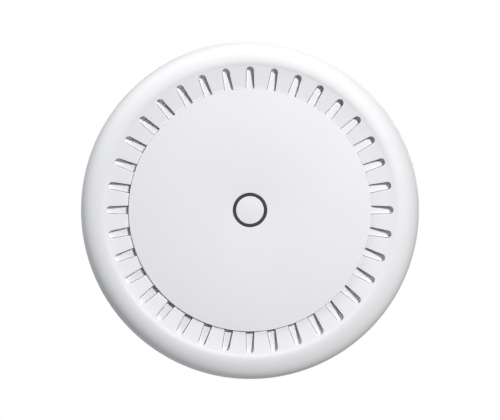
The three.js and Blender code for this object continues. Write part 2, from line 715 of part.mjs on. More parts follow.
function capacitor() {
  const { radius, height, chamfer } = CAPACITOR;
  return turned([
    [0, 0],
    [radius, 0],
    [radius, height - chamfer],
    [radius - chamfer, height],
    [0, height],
  ], SMALL_SIDES);
}

for (let index = 0; index < CAPACITOR.count; index += 1) {
  const y = CAPACITOR.firstY + index * CAPACITOR.pitch;
  add(`capacitor_${index + 1}`, capacitor(), ALUMINIUM, [CAPACITOR.x, y, BOARD_TOP + FIT]);
}

// The radios' shield cans, and the status lamps right behind the light guide.
const CAN = { size: [26, 22, 2.4], x: 27, y: 14 };
add('shield_can_2g', underneath(CAN.size, [-CAN.x, CAN.y]), STEEL);
add('shield_can_5g', underneath(CAN.size, [CAN.x, CAN.y]), STEEL);

const LED_SIZE = [1.6, 0.8, 0.7];
const LED_RADIUS = (LIGHT_INNER + LIGHT_OUTER) / 2;
add('status_led_1', underneath(LED_SIZE, [-LED_RADIUS, 0]), LED_WHITE);
add('status_led_2', underneath(LED_SIZE, [LED_RADIUS, 0]), LED_WHITE);

// ---------------------------------------------------------------------------------------------
// Network sockets, with the eight contact springs of each
// ---------------------------------------------------------------------------------------------

function ethernetJack() {
  const half = JACK.width / 2;
  const bodyLength = [JACK_FRONT, JACK_FRONT + JACK.length];
  const body = block([-half, half], bodyLength, [JACK_BOTTOM, JACK_BOTTOM + JACK.height]);
  const depth = [JACK_FRONT - CUT, JACK_FRONT + SOCKET.depth];
  const socketHalf = SOCKET.width / 2;
  const latchHalf = SOCKET.latchWidth / 2;
  const cavity = block([-socketHalf, socketHalf], depth, [SOCKET.bottom, SOCKET.top]);
  const latch = block([-latchHalf, latchHalf], depth, [SOCKET.top - CUT, SOCKET.latchTop]);
  return cutBy(body, [cavity, latch]);
}

// The springs of one socket, which reach forward from a bar at its back.
function jackContacts() {
  const { count, pitch, width, thickness, reach } = CONTACT;
  const back = JACK_FRONT + SOCKET.depth - GAP;
  const barTop = SOCKET.bottom + 2.3;
  const barHalf = 4.8;
  const bar = block([-barHalf, barHalf], [back - 1, back], [SOCKET.bottom + GAP, barTop]);
  const springs = steps(count - 1).map((_, index) => {
    const x = (index - (count - 1) / 2) * pitch;
    return block([x - width / 2, x + width / 2], [back - reach, back - 0.5], [barTop - thickness, barTop]);
  });
  return joined([bar, ...springs]);
}

const jack = ethernetJack();
const contacts = jackContacts();
[-1, 1].forEach((side, index) => {
  add(`ethernet_jack_${index + 1}`, jack, STEEL, [side * JACK.spacing / 2, 0, 0]);
  add(`jack_contacts_${index + 1}`, contacts, BRASS, [side * JACK.spacing / 2, 0, 0]);
});

// ---------------------------------------------------------------------------------------------
// Reset button and the switch behind it
// ---------------------------------------------------------------------------------------------

const BUTTON_START = BAY_INNER_END - BUTTON.proud;
const BUTTON_END = BUTTON_START + BUTTON.length;

function resetButton() {
  const collarStart = BAY_INNER_END + BAY_WALL + GAP;
  const cap = rodAlongY(BUTTON.radius, [BUTTON_START, BUTTON_END], BUTTON.x, BUTTON.z);
  const collar = rodAlongY(BUTTON.collar, [collarStart, collarStart + 0.8], BUTTON.x, BUTTON.z);
  return cap.add(collar);
}

// The switch, whose plunger waits behind the button.
function resetSwitch() {
  const start = BUTTON_END + 0.8;
  const half = 2.6;
  const plunger = rodAlongY(1, [start, start + 2], BUTTON.x, BUTTON.z);
  const levels = [BOARD_TOP + FIT, BUTTON.z + 2.2];
  const housing = block([BUTTON.x - half, BUTTON.x + half], [start + 0.6, start + 4], levels);
  return housing.add(plunger);
}

add('reset_button', resetButton(), LIGHT_GREY);
add('reset_switch', resetSwitch(), CHIP_BLACK);

// ---------------------------------------------------------------------------------------------
// Antennas on their reflector, with the cables that lead to the board
// ---------------------------------------------------------------------------------------------

// Where each antenna stands, the length of its arm, and where its cable meets the board.
const ANTENNAS = [
  { name: 'antenna_2g_1', at: [0, 42], angle: 0, arm: 28, plug: [10, 36] },
  { name: 'antenna_2g_2', at: [0, -42], angle: 180, arm: 28, plug: [-10, -36] },
  { name: 'antenna_5g_1', at: [46, 2], angle: -90, arm: 14, plug: [30, -6] },
  { name: 'antenna_5g_2', at: [-46, 2], angle: 90, arm: 14, plug: [-30, -6] },
];
const ANTENNA_HEIGHT = 6;
const FEED_HOLE_RADIUS = 2;
const FEED_OFFSET = 7; // the feed hole is this far from the antenna, towards the axis
const CABLE_RADIUS = 0.6;
const PLUG_RADIUS = 1.4;
const PLUG_HEIGHT = 1.2;

function reflectorPlate() {
  const levels = [REFLECTOR_BOTTOM, REFLECTOR_TOP];
  const through = [REFLECTOR_BOTTOM - CUT, REFLECTOR_TOP + CUT];
  const disc = rod(REFLECTOR_RADIUS, levels, 0, 0, MIDDLE_SIDES);
  const centre = rod(LIGHT_OUTER + 1.5, through, 0, 0, MIDDLE_SIDES);
  const screwHoles = POST_PLACES.map(([x, y]) => rod(THROUGH_HOLE, through, x, y));
  const feedHoles = ANTENNAS.map((antenna) => rod(FEED_HOLE_RADIUS, through, ...feedPoint(antenna)));
  return cutBy(disc, [centre, ...screwHoles, ...feedHoles]);
}

// The point where an antenna's cable passes the reflector.
function feedPoint({ at: [x, y] }) {
  const shrink = 1 - FEED_OFFSET / Math.hypot(x, y);
  return [x * shrink, y * shrink];
}

// A stamped strip: a foot on the reflector, an upright, and a long arm parallel to the reflector.
function antenna(arm) {
  const width = 7;
  const strip = 0.6;
  const foot = 8;
  const top = REFLECTOR_BOTTOM - FIT;
  const bottom = top - ANTENNA_HEIGHT;
  const across = [-width / 2, width / 2];
  return joined([
    block([-foot, 0], across, [top - strip, top]),
    block([-strip, 0], across, [bottom, top]),
    block([-arm / 2, arm / 2], across, [bottom, bottom + strip]),
  ]);
}

// A thin coaxial cable from beside the antenna's upright to the plug on the board.
function antennaCable(place) {
  const [feedX, feedY] = feedPoint(place);
  const [plugX, plugY] = place.plug;
  const start = 0.35; // the cable's end stands off the feed hole towards the antenna
  const startX = THREE.MathUtils.lerp(feedX, place.at[0], start);
  const startY = THREE.MathUtils.lerp(feedY, place.at[1], start);
  const boardEnd = BOARD_BOTTOM - FIT - PLUG_HEIGHT + CABLE_RADIUS - GAP;
  const reach = PLUG_RADIUS + GAP;
  const away = new THREE.Vector2(feedX - plugX, feedY - plugY).setLength(reach);
  const route = new THREE.CatmullRomCurve3([
    new THREE.Vector3(startX, startY, REFLECTOR_BOTTOM - 2),
    new THREE.Vector3(feedX, feedY, REFLECTOR_BOTTOM),
    new THREE.Vector3(feedX, feedY, REFLECTOR_TOP + 0.6),
    new THREE.Vector3((feedX + plugX) / 2, (feedY + plugY) / 2, boardEnd),
    new THREE.Vector3(plugX + away.x, plugY + away.y, boardEnd),
  ]);
  const section = new THREE.Shape().absarc(0, 0, CABLE_RADIUS, 0, 2 * Math.PI);
  const options = { steps: 9, extrudePath: route, curveSegments: 4 };
  return solid(new THREE.ExtrudeGeometry(section, options));
}

add('reflector_plate', reflectorPlate(), ALUMINIUM);
const plugTop = BOARD_BOTTOM - FIT;
const coaxPlug = rod(PLUG_RADIUS, [plugTop - PLUG_HEIGHT, plugTop]);
ANTENNAS.forEach((place, index) => {
  add(place.name, antenna(place.arm), BRASS, [...place.at, 0], place.angle);
  add(`antenna_cable_${index + 1}`, antennaCable(place), CABLE_GREY);
  add(`coax_plug_${index + 1}`, coaxPlug, BRASS, [...place.plug, 0]);
});

export default accessPoint;
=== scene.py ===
"""Looks of a round ceiling access point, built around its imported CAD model.

The object hangs from the ceiling plane z = 0 with its face towards -Z. Shapes are made in
millimetres and scaled to metres when they become objects. The camera looks straight up at the face:
right in the picture is +X and up in the picture is -Y.
"""

import math

import bmesh
import bpy
from mathutils import Matrix, Vector


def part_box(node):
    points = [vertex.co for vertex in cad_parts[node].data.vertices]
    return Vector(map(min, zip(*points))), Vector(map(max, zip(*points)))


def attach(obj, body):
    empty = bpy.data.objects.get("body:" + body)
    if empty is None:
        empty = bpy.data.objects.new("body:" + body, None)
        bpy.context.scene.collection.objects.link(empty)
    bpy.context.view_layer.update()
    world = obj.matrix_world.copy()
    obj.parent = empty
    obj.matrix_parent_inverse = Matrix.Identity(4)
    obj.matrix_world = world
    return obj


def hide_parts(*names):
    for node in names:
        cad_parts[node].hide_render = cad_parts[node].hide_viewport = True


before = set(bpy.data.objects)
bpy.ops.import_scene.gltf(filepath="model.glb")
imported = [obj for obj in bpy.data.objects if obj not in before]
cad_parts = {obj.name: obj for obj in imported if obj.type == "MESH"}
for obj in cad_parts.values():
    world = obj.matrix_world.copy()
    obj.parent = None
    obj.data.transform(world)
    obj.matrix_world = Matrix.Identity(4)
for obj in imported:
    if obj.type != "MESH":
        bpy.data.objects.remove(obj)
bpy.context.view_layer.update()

# ------------------------------------------------------------------------------------------------
# Sizes, in millimetres: read off the frame where a node's box gives them
# ------------------------------------------------------------------------------------------------

MM = 0.001


def low(node):
    """The lowest corner of a CAD node, in millimetres."""
    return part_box(node)[0] / MM


def high(node):
    """The highest corner of a CAD node, in millimetres."""
    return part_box(node)[1] / MM


GAP = 0.3  # between neighbouring pieces
FIT = 0.15  # between faces that are screwed or glued together
CUT = 2  # the level that cutters through the back reach, clear of the ceiling plane
SEGMENTS = 288  # round the large shells: eight to a vent's pitch
REAR_INSET = 0.2  # of the rear housing from the front housing's edge
LABEL_DEPTH = 0.4  # from the back down to the label's lower face

OUTER_RADIUS = high("front_housing").x
RIM_LEVEL = low("front_housing").z
PARTING_LEVEL = -16.6
PARTING_RADIUS = high("rear_housing").x + REAR_INSET
BACK_LEVEL = low("rating_label").z + LABEL_DEPTH
DISC_RADIUS = high("face_disc").x
DISC_LEVEL = low("face_disc").z
DISC_BACK = high("face_disc").z
SEAT_LEVEL = DISC_BACK + GAP
CAP_RADIUS = high("centre_cap").x

# The face: rim, dished ring and disc.
RIM_RADIUS = 84.0
WIDEST_LEVEL = -29.0
SEAT_RADIUS = DISC_RADIUS + FIT
SEAT_BACK = SEAT_LEVEL + 1.8
DISH_LEVEL = DISC_LEVEL + 1.0
DISH_END = 81.3
DISH_CONE = 1.7
DISH_SWEEP = 0.6
DISH_WALL = 1.7
WALL = 2.0

VENT_COUNT = 36
VENT_END = 80.7
VENT_HALF_AT_DISC = 2.4
VENT_HALF_AT_END = 2.1
VENT_WALL = 1.4
VENT_EDGE = 0.08  # radius of the rounding where a vent's wall meets the ring
GROOVE_WIDTH = 0.25  # of the fine groove between a vent's floor and its sides
GROOVE_DEPTH = 0.9
WINDOW_START = 61.5
WINDOW_END = 67.0
LAND_RADIUS = 60.0  # the plain part of the seat ends here, just inside the windows
PITCH = 360 / VENT_COUNT

RING_INNER = 8.05
RING_OUTER = 9.45

BACK_RADIUS = 83.8
BACK_CORNER = 1.4
RECESS_RADIUS = 64.5
RECESS_LEVEL = -6.0
RECESS_BACK = -7.6
BAY_HALF_WIDTH = 26.0
BAY_WALL = 1.6
BAY_END = -30.0
BAY_RADIUS = 82.0
BAY_FLOOR = -19.2
EXIT_HALF_WIDTH = 9.0
EXIT_FLOOR = -14.0
EXIT_START = -80.0

PLATE_RADIUS = high("mounting_plate").x
PLATE_THICKNESS = 1.6
PLATE_CENTRE = 46.0
PLATE_STEP = 3.0
FLANGE_LEVEL = low("mounting_plate").z + PLATE_THICKNESS
HOOK_ANGLES = (90, 210, 330)
HOOK_HALF_ANGLE = 5.0
TOE_INNER = 55.5
HOOK_TOP = -1.2
UNLOCK_ANGLE = 15.0
SLOT_ANGLES = (0, 60, 120, 180)
SLOT_CENTRE = 36.0
SLOT_LENGTH = 12.0
SLOT_WIDTH = 4.0
CABLE_WINDOW = [(-10, -42), (10, -42), (10, -26), (-10, -26)]
SHEET_BEND = 1.2  # radius of the outer side of a bend

SCREW_RADIUS = 75.0
SCREW_ANGLES = (45, 135, 225, 315)
SCREW_HOLE = 1.8
COUNTERBORE = 3.3
BOSS_TOP = -9.5
HEAD_SEAT = -3.6

SOCKET_TOP = -10.5
SOCKET_BOTTOM = -18.9
SOCKET_HALF_WIDTH = 5.95
SOCKET_DEPTH = 14.4
LATCH_HALF_WIDTH = 3.0
LATCH_HEIGHT = 1.5
CONTACT_COUNT = 8
CONTACT_PITCH = 1.02
CONTACT_HALF_WIDTH = 0.25

BUTTON_RADIUS = 1.6
BUTTON_COLLAR = 2.6
BUTTON_HOLE = 1.9

# ------------------------------------------------------------------------------------------------
# Shape helpers
# ------------------------------------------------------------------------------------------------


def polar(radius, degrees):
    """The X and Y of a point at a radius and an angle."""
    angle = math.radians(degrees)
    return radius * math.cos(angle), radius * math.sin(angle)


def spread(start, end, count):
    """count + 1 values from start to end."""
    return [start + (end - start) * index / count for index in range(count + 1)]


NEARLY_STRAIGHT = math.radians(89)  # half the angle of a corner that isn't worth rounding
LARGEST_SHARE = 0.45  # of an edge that one rounding may take


def rounded(points, radius, steps=4):
    """A closed outline with its corners rounded. radius is one number, or one for each corner."""
    radii = radius if isinstance(radius, (list, tuple)) else [radius] * len(points)
    corners = [Vector(point) for point in points]
    result = []
    for index, corner in enumerate(corners):
        before = corners[index - 1] - corner
        after = corners[(index + 1) % len(corners)] - corner
        half = before.angle(after) / 2
        if radii[index] == 0 or half > NEARLY_STRAIGHT:
            result.append(tuple(corner))
            continue
        longest = LARGEST_SHARE * before.length, LARGEST_SHARE * after.length
        reach = min(radii[index] / math.tan(half), *longest)
        bisector = (before.normalized() + after.normalized()).normalized()
        centre = corner + bisector * reach / math.cos(half)
        start = corner + before.normalized() * reach - centre
        end = corner + after.normalized() * reach - centre
        sweep = -start.angle_signed(end)
        for step in range(steps + 1):
            spoke = Matrix.Rotation(sweep * step / steps, 2) @ start
            result.append(tuple(centre + spoke))
    return result


def lathe(profile, segments=SEGMENTS):
    """A mesh turned about Z from a profile of (radius, level) points, which closes on itself.

    A point on the axis becomes a pole, and two neighbouring poles aren't joined.
    """
    shape = bmesh.new()
    rings = []
    for radius, level in profile:
        if radius < 1e-6:
            rings.append([shape.verts.new((0, 0, level))] * segments)
            continue
        ring = []
        for segment in range(segments):
            x, y = polar(radius, 360 * segment / segments)
            ring.append(shape.verts.new((x, y, level)))
        rings.append(ring)
    for near, far in zip(rings, rings[1:] + rings[:1]):
        for segment in range(segments):
            following = (segment + 1) % segments
            loop = [near[segment], near[following], far[following], far[segment]]
            corners = [vert for place, vert in enumerate(loop) if vert is not loop[place - 1]]
            if len(corners) > 2:
                shape.faces.new(corners)
    return shape


def prism(outline, bottom, top):
    """A straight prism over an outline of (x, y) points."""
    shape = bmesh.new()
    lower = [shape.verts.new((x, y, bottom)) for x, y in outline]
    upper = [shape.verts.new((x, y, top)) for x, y in outline]
    shape.faces.new(lower)
    shape.faces.new(upper)
    for index in range(len(outline)):
        following = (index + 1) % len(outline)
        shape.faces.new((lower[index], lower[following], upper[following], upper[index]))
    return shape


def block(x_span, y_span, z_span):
    """A box between two corners."""
    (x0, x1), (y0, y1), (z0, z1) = x_span, y_span, z_span
    return prism([(x0, y0), (x1, y0), (x1, y1), (x0, y1)], z0, z1)


def rod(radius, z_span, centre=(0, 0), segments=48):
    """An upright round bar."""
    shape = lathe([(0, z_span[0]), (radius, z_span[0]), (radius, z_span[1]), (0, z_span[1])], segments)
    bmesh.ops.translate(shape, verts=shape.verts, vec=(*centre, 0))
    return shape


def ring_sector(radii, middle, half, z_span):
    """A part of a flat ring, half degrees each side of the middle angle."""
    outer = [polar(radii[1], angle) for angle in spread(middle - half, middle + half, 12)]
    inner = [polar(radii[0], angle) for angle in spread(middle + half, middle - half, 12)]
    return prism(outer + inner, *z_span)


def long_hole(length, width, z_span, centre, turn):
    """A slot with round ends, as a cutter."""
    half = (length - width) / 2
    ends = [(side * half, start) for side, start in ((1, -90), (-1, 90))]
    outline = [
        (x + width / 2 * math.cos(math.radians(angle)), width / 2 * math.sin(math.radians(angle)))
        for x, start in ends
        for angle in spread(start, start + 180, 12)
    ]
    shape = prism(outline, *z_span)
    bmesh.ops.rotate(shape, verts=shape.verts, matrix=Matrix.Rotation(math.radians(turn), 3, "Z"))
    bmesh.ops.translate(shape, verts=shape.verts, vec=(*centre, 0))
    return shape


def to_object(name, shape):
    """Turns a mesh in millimetres into an object in metres, with its faces looking outwards."""
    bmesh.ops.recalc_face_normals(shape, faces=shape.faces)
    bmesh.ops.scale(shape, verts=shape.verts, vec=(MM, MM, MM))
    mesh = bpy.data.meshes.new(name)
    shape.to_mesh(mesh)
    shape.free()
    piece = bpy.data.objects.new(name, mesh)
    bpy.context.scene.collection.objects.link(piece)
    return piece


def apply_modifiers(piece):
    """Replaces a piece's mesh by what its modifiers make of it."""
    graph = bpy.context.evaluated_depsgraph_get()
    mesh = bpy.data.meshes.new_from_object(piece.evaluated_get(graph))
    piece.modifiers.clear()
    piece.data = mesh


def combine(piece, shapes, operation):
    """Joins shapes to a piece, or cuts them out of it."""
    for shape in shapes:
        tool = to_object("tool", shape)
        step = piece.modifiers.new("step", "BOOLEAN")
        step.operation = operation
        step.solver = "EXACT"
        step.object = tool
        apply_modifiers(piece)
        bpy.data.objects.remove(tool)
    return piece


def soften(piece, width, segments=2, angle=30):
    """Rounds a piece's edges a little, as moulding and stamping leave them."""
    bevel = piece.modifiers.new("edges", "BEVEL")
    bevel.width = width * MM
    bevel.segments = segments
    bevel.limit_method = "ANGLE"
    bevel.angle_limit = math.radians(angle)
    bevel.use_clamp_overlap = True
    bevel.harden_normals = False
    apply_modifiers(piece)
    return piece


def shade(piece, angle=32):
    """Smooth shading, with edges that turn by more than the angle kept sharp."""
    piece.data.polygons.foreach_set("use_smooth", [True] * len(piece.data.polygons))
    piece.data.set_sharp_from_angle(angle=math.radians(angle))
    return piece


def place(piece, material, node, slot, body="access_point"):
    """Gives a piece its material, its body and the CAD node that it stands for."""
    piece.data.materials.clear()
    piece.data.materials.append(material)
    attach(piece, body)
    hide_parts(node)
    return piece


# ------------------------------------------------------------------------------------------------
# Materials
# ------------------------------------------------------------------------------------------------


PLASTIC_IOR = 1.5

# A mix node's sockets for colours, which share their names with those for numbers and vectors.
MIX_FACTOR, MIX_A, MIX_B, MIX_RESULT = 0, 6, 7, 2


class Finish:
    """A node material that starts as a plain principled shader and is given detail by its methods."""

    def __init__(self, name, colour, roughness, metallic=0.0):
        self.material = bpy.data.materials.new(name)
        self.material.use_nodes = True
        self.tree = self.material.node_tree
        self.shader = self.tree.nodes["Principled BSDF"]
        self.colour = (*colour, 1)
        self.roughness = roughness
        self.shader.inputs["Base Color"].default_value = self.colour
        self.shader.inputs["Roughness"].default_value = roughness
        self.shader.inputs["Metallic"].default_value = metallic
        self.place = self.tree.nodes.new("ShaderNodeTexCoord").outputs["Object"]
        self.height = None

    def node(self, kind, **values):
        made = self.tree.nodes.new(kind)
        for key, value in values.items():
            if key in made.inputs:
                made.inputs[key].default_value = value
            else:
                setattr(made, key, value)
        return made

    def noise(self, size, detail=2.0, stretch=(1, 1, 1)):
        """A noise whose features are about size millimetres across, stretched along the axes."""
        scaling = self.node("ShaderNodeMapping")
        scaling.inputs["Scale"].default_value = [1 / (size * MM * along) for along in stretch]
        self.tree.links.new(self.place, scaling.inputs["Vector"])
        made = self.node("ShaderNodeTexNoise", Scale=1.0, Detail=detail)
        self.tree.links.new(scaling.outputs[0], made.inputs["Vector"])
        return made.outputs[0]

    def remap(self, source, low_value, high_value, start=0.3, end=0.7):
        made = self.node("ShaderNodeMapRange")
        made.inputs["From Min"].default_value = start
        made.inputs["From Max"].default_value = end
        made.inputs["To Min"].default_value = low_value
        made.inputs["To Max"].default_value = high_value
        self.tree.links.new(source, made.inputs["Value"])
        return made.outputs[0]

    def mottle(self, size, amount, tint=None):
        """Lets the colour drift between its own value and a slightly different one."""
        other = tint or [channel * (1 - amount) for channel in self.colour[:3]]
        mix = self.node("ShaderNodeMix", data_type="RGBA")
        mix.inputs[MIX_A].default_value = self.colour
        mix.inputs[MIX_B].default_value = (*other, 1)
        self.tree.links.new(self.remap(self.noise(size, 3), 0, 1), mix.inputs[MIX_FACTOR])
        self.tree.links.new(mix.outputs[MIX_RESULT], self.shader.inputs["Base Color"])
        return self

    def worn(self, size, amount, stretch=(1, 1, 1)):
        """Lets the roughness drift."""
        drift = self.remap(
            self.noise(size, 4, stretch), self.roughness - amount, self.roughness + amount
        )
        self.tree.links.new(drift, self.shader.inputs["Roughness"])
        return self

    def relief(self, size, depth, detail=2.0, stretch=(1, 1, 1)):
        """Adds a fine bump of about the given size and depth, in millimetres."""
        bump = self.node("ShaderNodeBump", Strength=1.0)
        bump.inputs["Distance"].default_value = depth * MM
        self.tree.links.new(self.noise(size, detail, stretch), bump.inputs["Height"])
        if self.height is not None:
            self.tree.links.new(self.height, bump.inputs["Normal"])
        self.height = bump.outputs[0]
        self.tree.links.new(self.height, self.shader.inputs["Normal"])
        return self


def moulded(name, colour, roughness=0.6, grain=0.012):
    """White moulded plastic: a fine spark-eroded grain over the faintest unevenness."""
    finish = Finish(name, colour, roughness)
    finish.mottle(28, 0.012).worn(9, 0.05)
    finish.relief(0.35, grain).relief(14, 0.02, 1)
    finish.shader.inputs["IOR"].default_value = PLASTIC_IOR
    return finish.material


def sheet_metal(name, colour, roughness, stretch=(1, 1, 1), depth=0.004):
    """Rolled or plated metal, with fine lines along the stretched direction."""
    finish = Finish(name, colour, roughness, 1.0)
    finish.mottle(7, 0.1).worn(3, 0.07, stretch)
    finish.relief(0.5, depth, 3, stretch)
    return finish.material


WHITE = moulded("white_plastic", (0.80, 0.80, 0.815))
ZINC = sheet_metal("zinc_plate", (0.62, 0.63, 0.64), 0.38, (1, 12, 1))
SCREW = sheet_metal("screw_plating", (0.55, 0.55, 0.56), 0.3)
TIN = sheet_metal("tinned_sheet", (0.66, 0.66, 0.66), 0.33, (1, 1, 8))
ALUMINIUM = sheet_metal("aluminium", (0.76, 0.77, 0.78), 0.42, (10, 1, 1))
BRASS = sheet_metal("antenna_brass", (0.72, 0.57, 0.33), 0.34, (6, 1, 1))
GOLD = sheet_metal("contact_gold", (0.85, 0.66, 0.32), 0.25)


def smoked_plastic():
    """The dark translucent plastic of the light guide and the button."""
    finish = Finish("smoked_ring", (0.034, 0.035, 0.038), 0.4)
    return finish.mottle(3, 0.08).worn(2, 0.05).relief(0.3, 0.004)


def painted_groove_shade():
    """Painted shade: a flat dark colour on the grooves along the sides of the vents, standing in for the
    shade deep inside them.
    """
    return Finish("painted_groove_shade", (0.05, 0.05, 0.052), 0.7).mottle(2, 0.1).relief(0.3, 0.01)


def chip_epoxy():
    """The black filled epoxy of chips, with its dull, faintly pitted skin."""
    finish = Finish("chip_epoxy", (0.03, 0.03, 0.032), 0.55)
    return finish.mottle(1.5, 0.15).worn(0.8, 0.08).relief(0.12, 0.01)


def varnished_coil():
    """Wound copper wire under a brown varnish."""
    finish = Finish("varnished_coil", (0.2, 0.09, 0.04), 0.4)
    return finish.mottle(1, 0.3).relief(0.5, 0.05, 1, (20, 1, 1))


def cable_jacket():
    """The dark jacket of a thin coaxial cable."""
    return Finish("cable_jacket", (0.06, 0.065, 0.07), 0.5).mottle(2, 0.1).relief(0.3, 0.01)


def thermal_pad():
    """A soft blue-grey pad between the processor and its heat sink."""
    return Finish("thermal_pad", (0.3, 0.45, 0.55), 0.8).mottle(1.2, 0.15).relief(0.4, 0.03)


def led_lens():
    """The yellowish clear resin of a lamp."""
    return Finish("led_lens", (0.88, 0.86, 0.75), 0.2).mottle(0.5, 0.05).relief(0.4, 0.002)


def label_film():
    """Matt printed film, here blank."""
    finish = Finish("label_film", (0.72, 0.72, 0.70), 0.6)
    return finish.mottle(6, 0.03).worn(4, 0.06).relief(0.25, 0.006)


def circuit_board():
    """Green solder mask over copper, which shows as slight relief and darker patches."""
    finish = Finish("circuit_board", (0.03, 0.16, 0.08), 0.4)
    return finish.mottle(2.2, 0.35).worn(1.5, 0.1).relief(0.8, 0.03, 1)


SMOKED = smoked_plastic().material
# A dark colour painted into the vents' grooves as shade.
PAINTED_GROOVE_SHADE = painted_groove_shade().material
CHIP = chip_epoxy().material
COIL = varnished_coil().material
JACKET = cable_jacket().material
PAD = thermal_pad().material
LENS = led_lens().material
PAPER = label_film().material
BOARD = circuit_board().material

NODE_MATERIALS = {
    "main_board": BOARD,
    "processor": CHIP,
    "memory_chip_1": CHIP,
    "memory_chip_2": CHIP,
    "flash_chip": CHIP,
    "lan_transformer_1": CHIP,
    "lan_transformer_2": CHIP,
    "power_inductor": CHIP,
    "reset_switch": CHIP,
    "thermal_pad": PAD,
    "heat_sink": ALUMINIUM,
    "reflector_plate": ALUMINIUM,
    "poe_transformer": COIL,
    "shield_can_2g": TIN,
    "shield_can_5g": TIN,
    "status_led_1": LENS,
    "status_led_2": LENS,
    "antenna_2g_1": BRASS,
    "antenna_2g_2": BRASS,
    "antenna_5g_1": BRASS,
    "antenna_5g_2": BRASS,
}
for number in range(1, 4):
    NODE_MATERIALS[f"capacitor_{number}"] = ALUMINIUM
for number in range(1, 5):
    NODE_MATERIALS[f"board_screw_{number}"] = SCREW
    NODE_MATERIALS[f"board_spacer_{number}"] = BRASS
    NODE_MATERIALS[f"antenna_cable_{number}"] = JACKET
    NODE_MATERIALS[f"coax_plug_{number}"] = GOLD

for node, material in NODE_MATERIALS.items():
    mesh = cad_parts[node].data
    mesh.materials.clear()
    mesh.materials.append(material)

# ------------------------------------------------------------------------------------------------
# Front housing: rim, dished ring and vents
# ------------------------------------------------------------------------------------------------

PAINTED_GROOVE_STEPS = (0, 1)  # the rows of faces in a vent's groove, which get the painted groove shade
TIP_STEPS = 16  # round the tip of a vent
WELD = 0.004  # points nearer than this become one


def dish(radius):
    """The level of the dished ring at a radius."""
    along = (radius - SEAT_RADIUS) / (DISH_END - SEAT_RADIUS)
    return DISH_LEVEL - DISH_CONE * along - DISH_SWEEP * along ** 3


def underside(radius):
    """The level of the housing's inner face behind the seat and the dished ring."""
    run = 2  # the width of the sloping step from the seat to the ring
    along = min(1.0, max(0.0, (radius - SEAT_RADIUS) / run))
    return SEAT_BACK + (dish(radius) + DISH_WALL - SEAT_BACK) * along if along else SEAT_BACK


def vent_side():
    """Points (radius, level) of the face along one side of a vent, up to the centre of its tip."""
    tip_centre = VENT_END - VENT_HALF_AT_END
    edge, corner = 0.2, 0.06  # the rounding of the ring's inner edge, and the middle of its curve
    seat = [(radius, SEAT_LEVEL) for radius in (WINDOW_START, WINDOW_END, SEAT_RADIUS)]
    step = [
        (SEAT_RADIUS, DISH_LEVEL + edge), (SEAT_RADIUS + corner, DISH_LEVEL + corner),
        (SEAT_RADIUS + edge, dish(SEAT_RADIUS + edge)),
    ]
    return seat + step + [(radius, dish(radius)) for radius in spread(SEAT_RADIUS + 0.6, tip_centre, 8)]


def vent_outline(margin, tip_margin=None):
    """A loop (radius, angle, level) round a vent along the angle 0, moved outwards by a margin.

    The margin of the round tip fades to its own value, if one is given.
    """
    tip_centre = VENT_END - VENT_HALF_AT_END
    slope = (VENT_HALF_AT_DISC - VENT_HALF_AT_END) / (tip_centre - DISC_RADIUS)
    side = []
    for radius, level in vent_side():
        half = VENT_HALF_AT_END + slope * (tip_centre - radius) + margin
        side.append((radius, math.degrees(math.asin(half / radius)), level))
    tip = []
    for index in range(1, TIP_STEPS):
        angle = math.radians(90 - 180 * index / TIP_STEPS)
        fade = 0 if tip_margin is None else min(1, min(index, TIP_STEPS - index) / 4)
        reach = VENT_HALF_AT_END + margin + (0 if tip_margin is None else (tip_margin - margin) * fade)
        x = tip_centre + reach * math.cos(angle)
        y = reach * math.sin(angle)
        radius = math.hypot(x, y)
        tip.append((radius, math.degrees(math.atan2(y, x)), dish(min(radius, DISH_END))))
    back = [(radius, -angle, level) for radius, angle, level in reversed(side)]
    start_angle = side[0][1]
    end = [(WINDOW_START, angle, SEAT_LEVEL) for angle in spread(-start_angle, start_angle, 10)[1:-1]]
    return side + tip + back + end


def vent_border():
    """The edge of one vent's share of the ring: a loop that matches its outline point by point."""
    side = [(radius, PITCH / 2, level) for radius, level in vent_side()]
    tip_centre = VENT_END - VENT_HALF_AT_END
    up = [(radius, PITCH / 2) for radius in spread(tip_centre, DISH_END, 4)]
    over = [(DISH_END, angle) for angle in spread(PITCH / 2, -PITCH / 2, 8)]
    down = [(radius, -angle) for radius, angle in reversed(up)]
    tip = [(radius, angle, dish(radius)) for radius, angle in up[1:] + over[1:] + down[1:-1]]
    back = [(radius, -angle, level) for radius, angle, level in reversed(side)]
    end = [(LAND_RADIUS, angle, SEAT_LEVEL) for angle in spread(-PITCH / 2, PITCH / 2, 8)]
    return side + tip + back + end


def blend(near, far, share):
    """The radius and the angle a share of the way from one point to another."""
    return near[0] + (far[0] - near[0]) * share, near[1] + (far[1] - near[1]) * share


def vent_back_rows():
    """Rows over the inner face: from the border, round the trough, to the edge of the floor."""
    limit = DISH_END - 0.2
    trough = [(min(radius, limit), angle, level) for radius, angle, level in vent_outline(VENT_WALL)]
    return [
        [(radius, angle, underside(radius)) for radius, angle, _ in vent_border()],
        [(radius, angle, underside(radius)) for radius, angle, _ in trough],
        [(radius, angle, SEAT_BACK) for radius, angle, _ in trough],
        [(radius, angle, SEAT_BACK) for radius, angle, _ in vent_outline(0)],
    ]


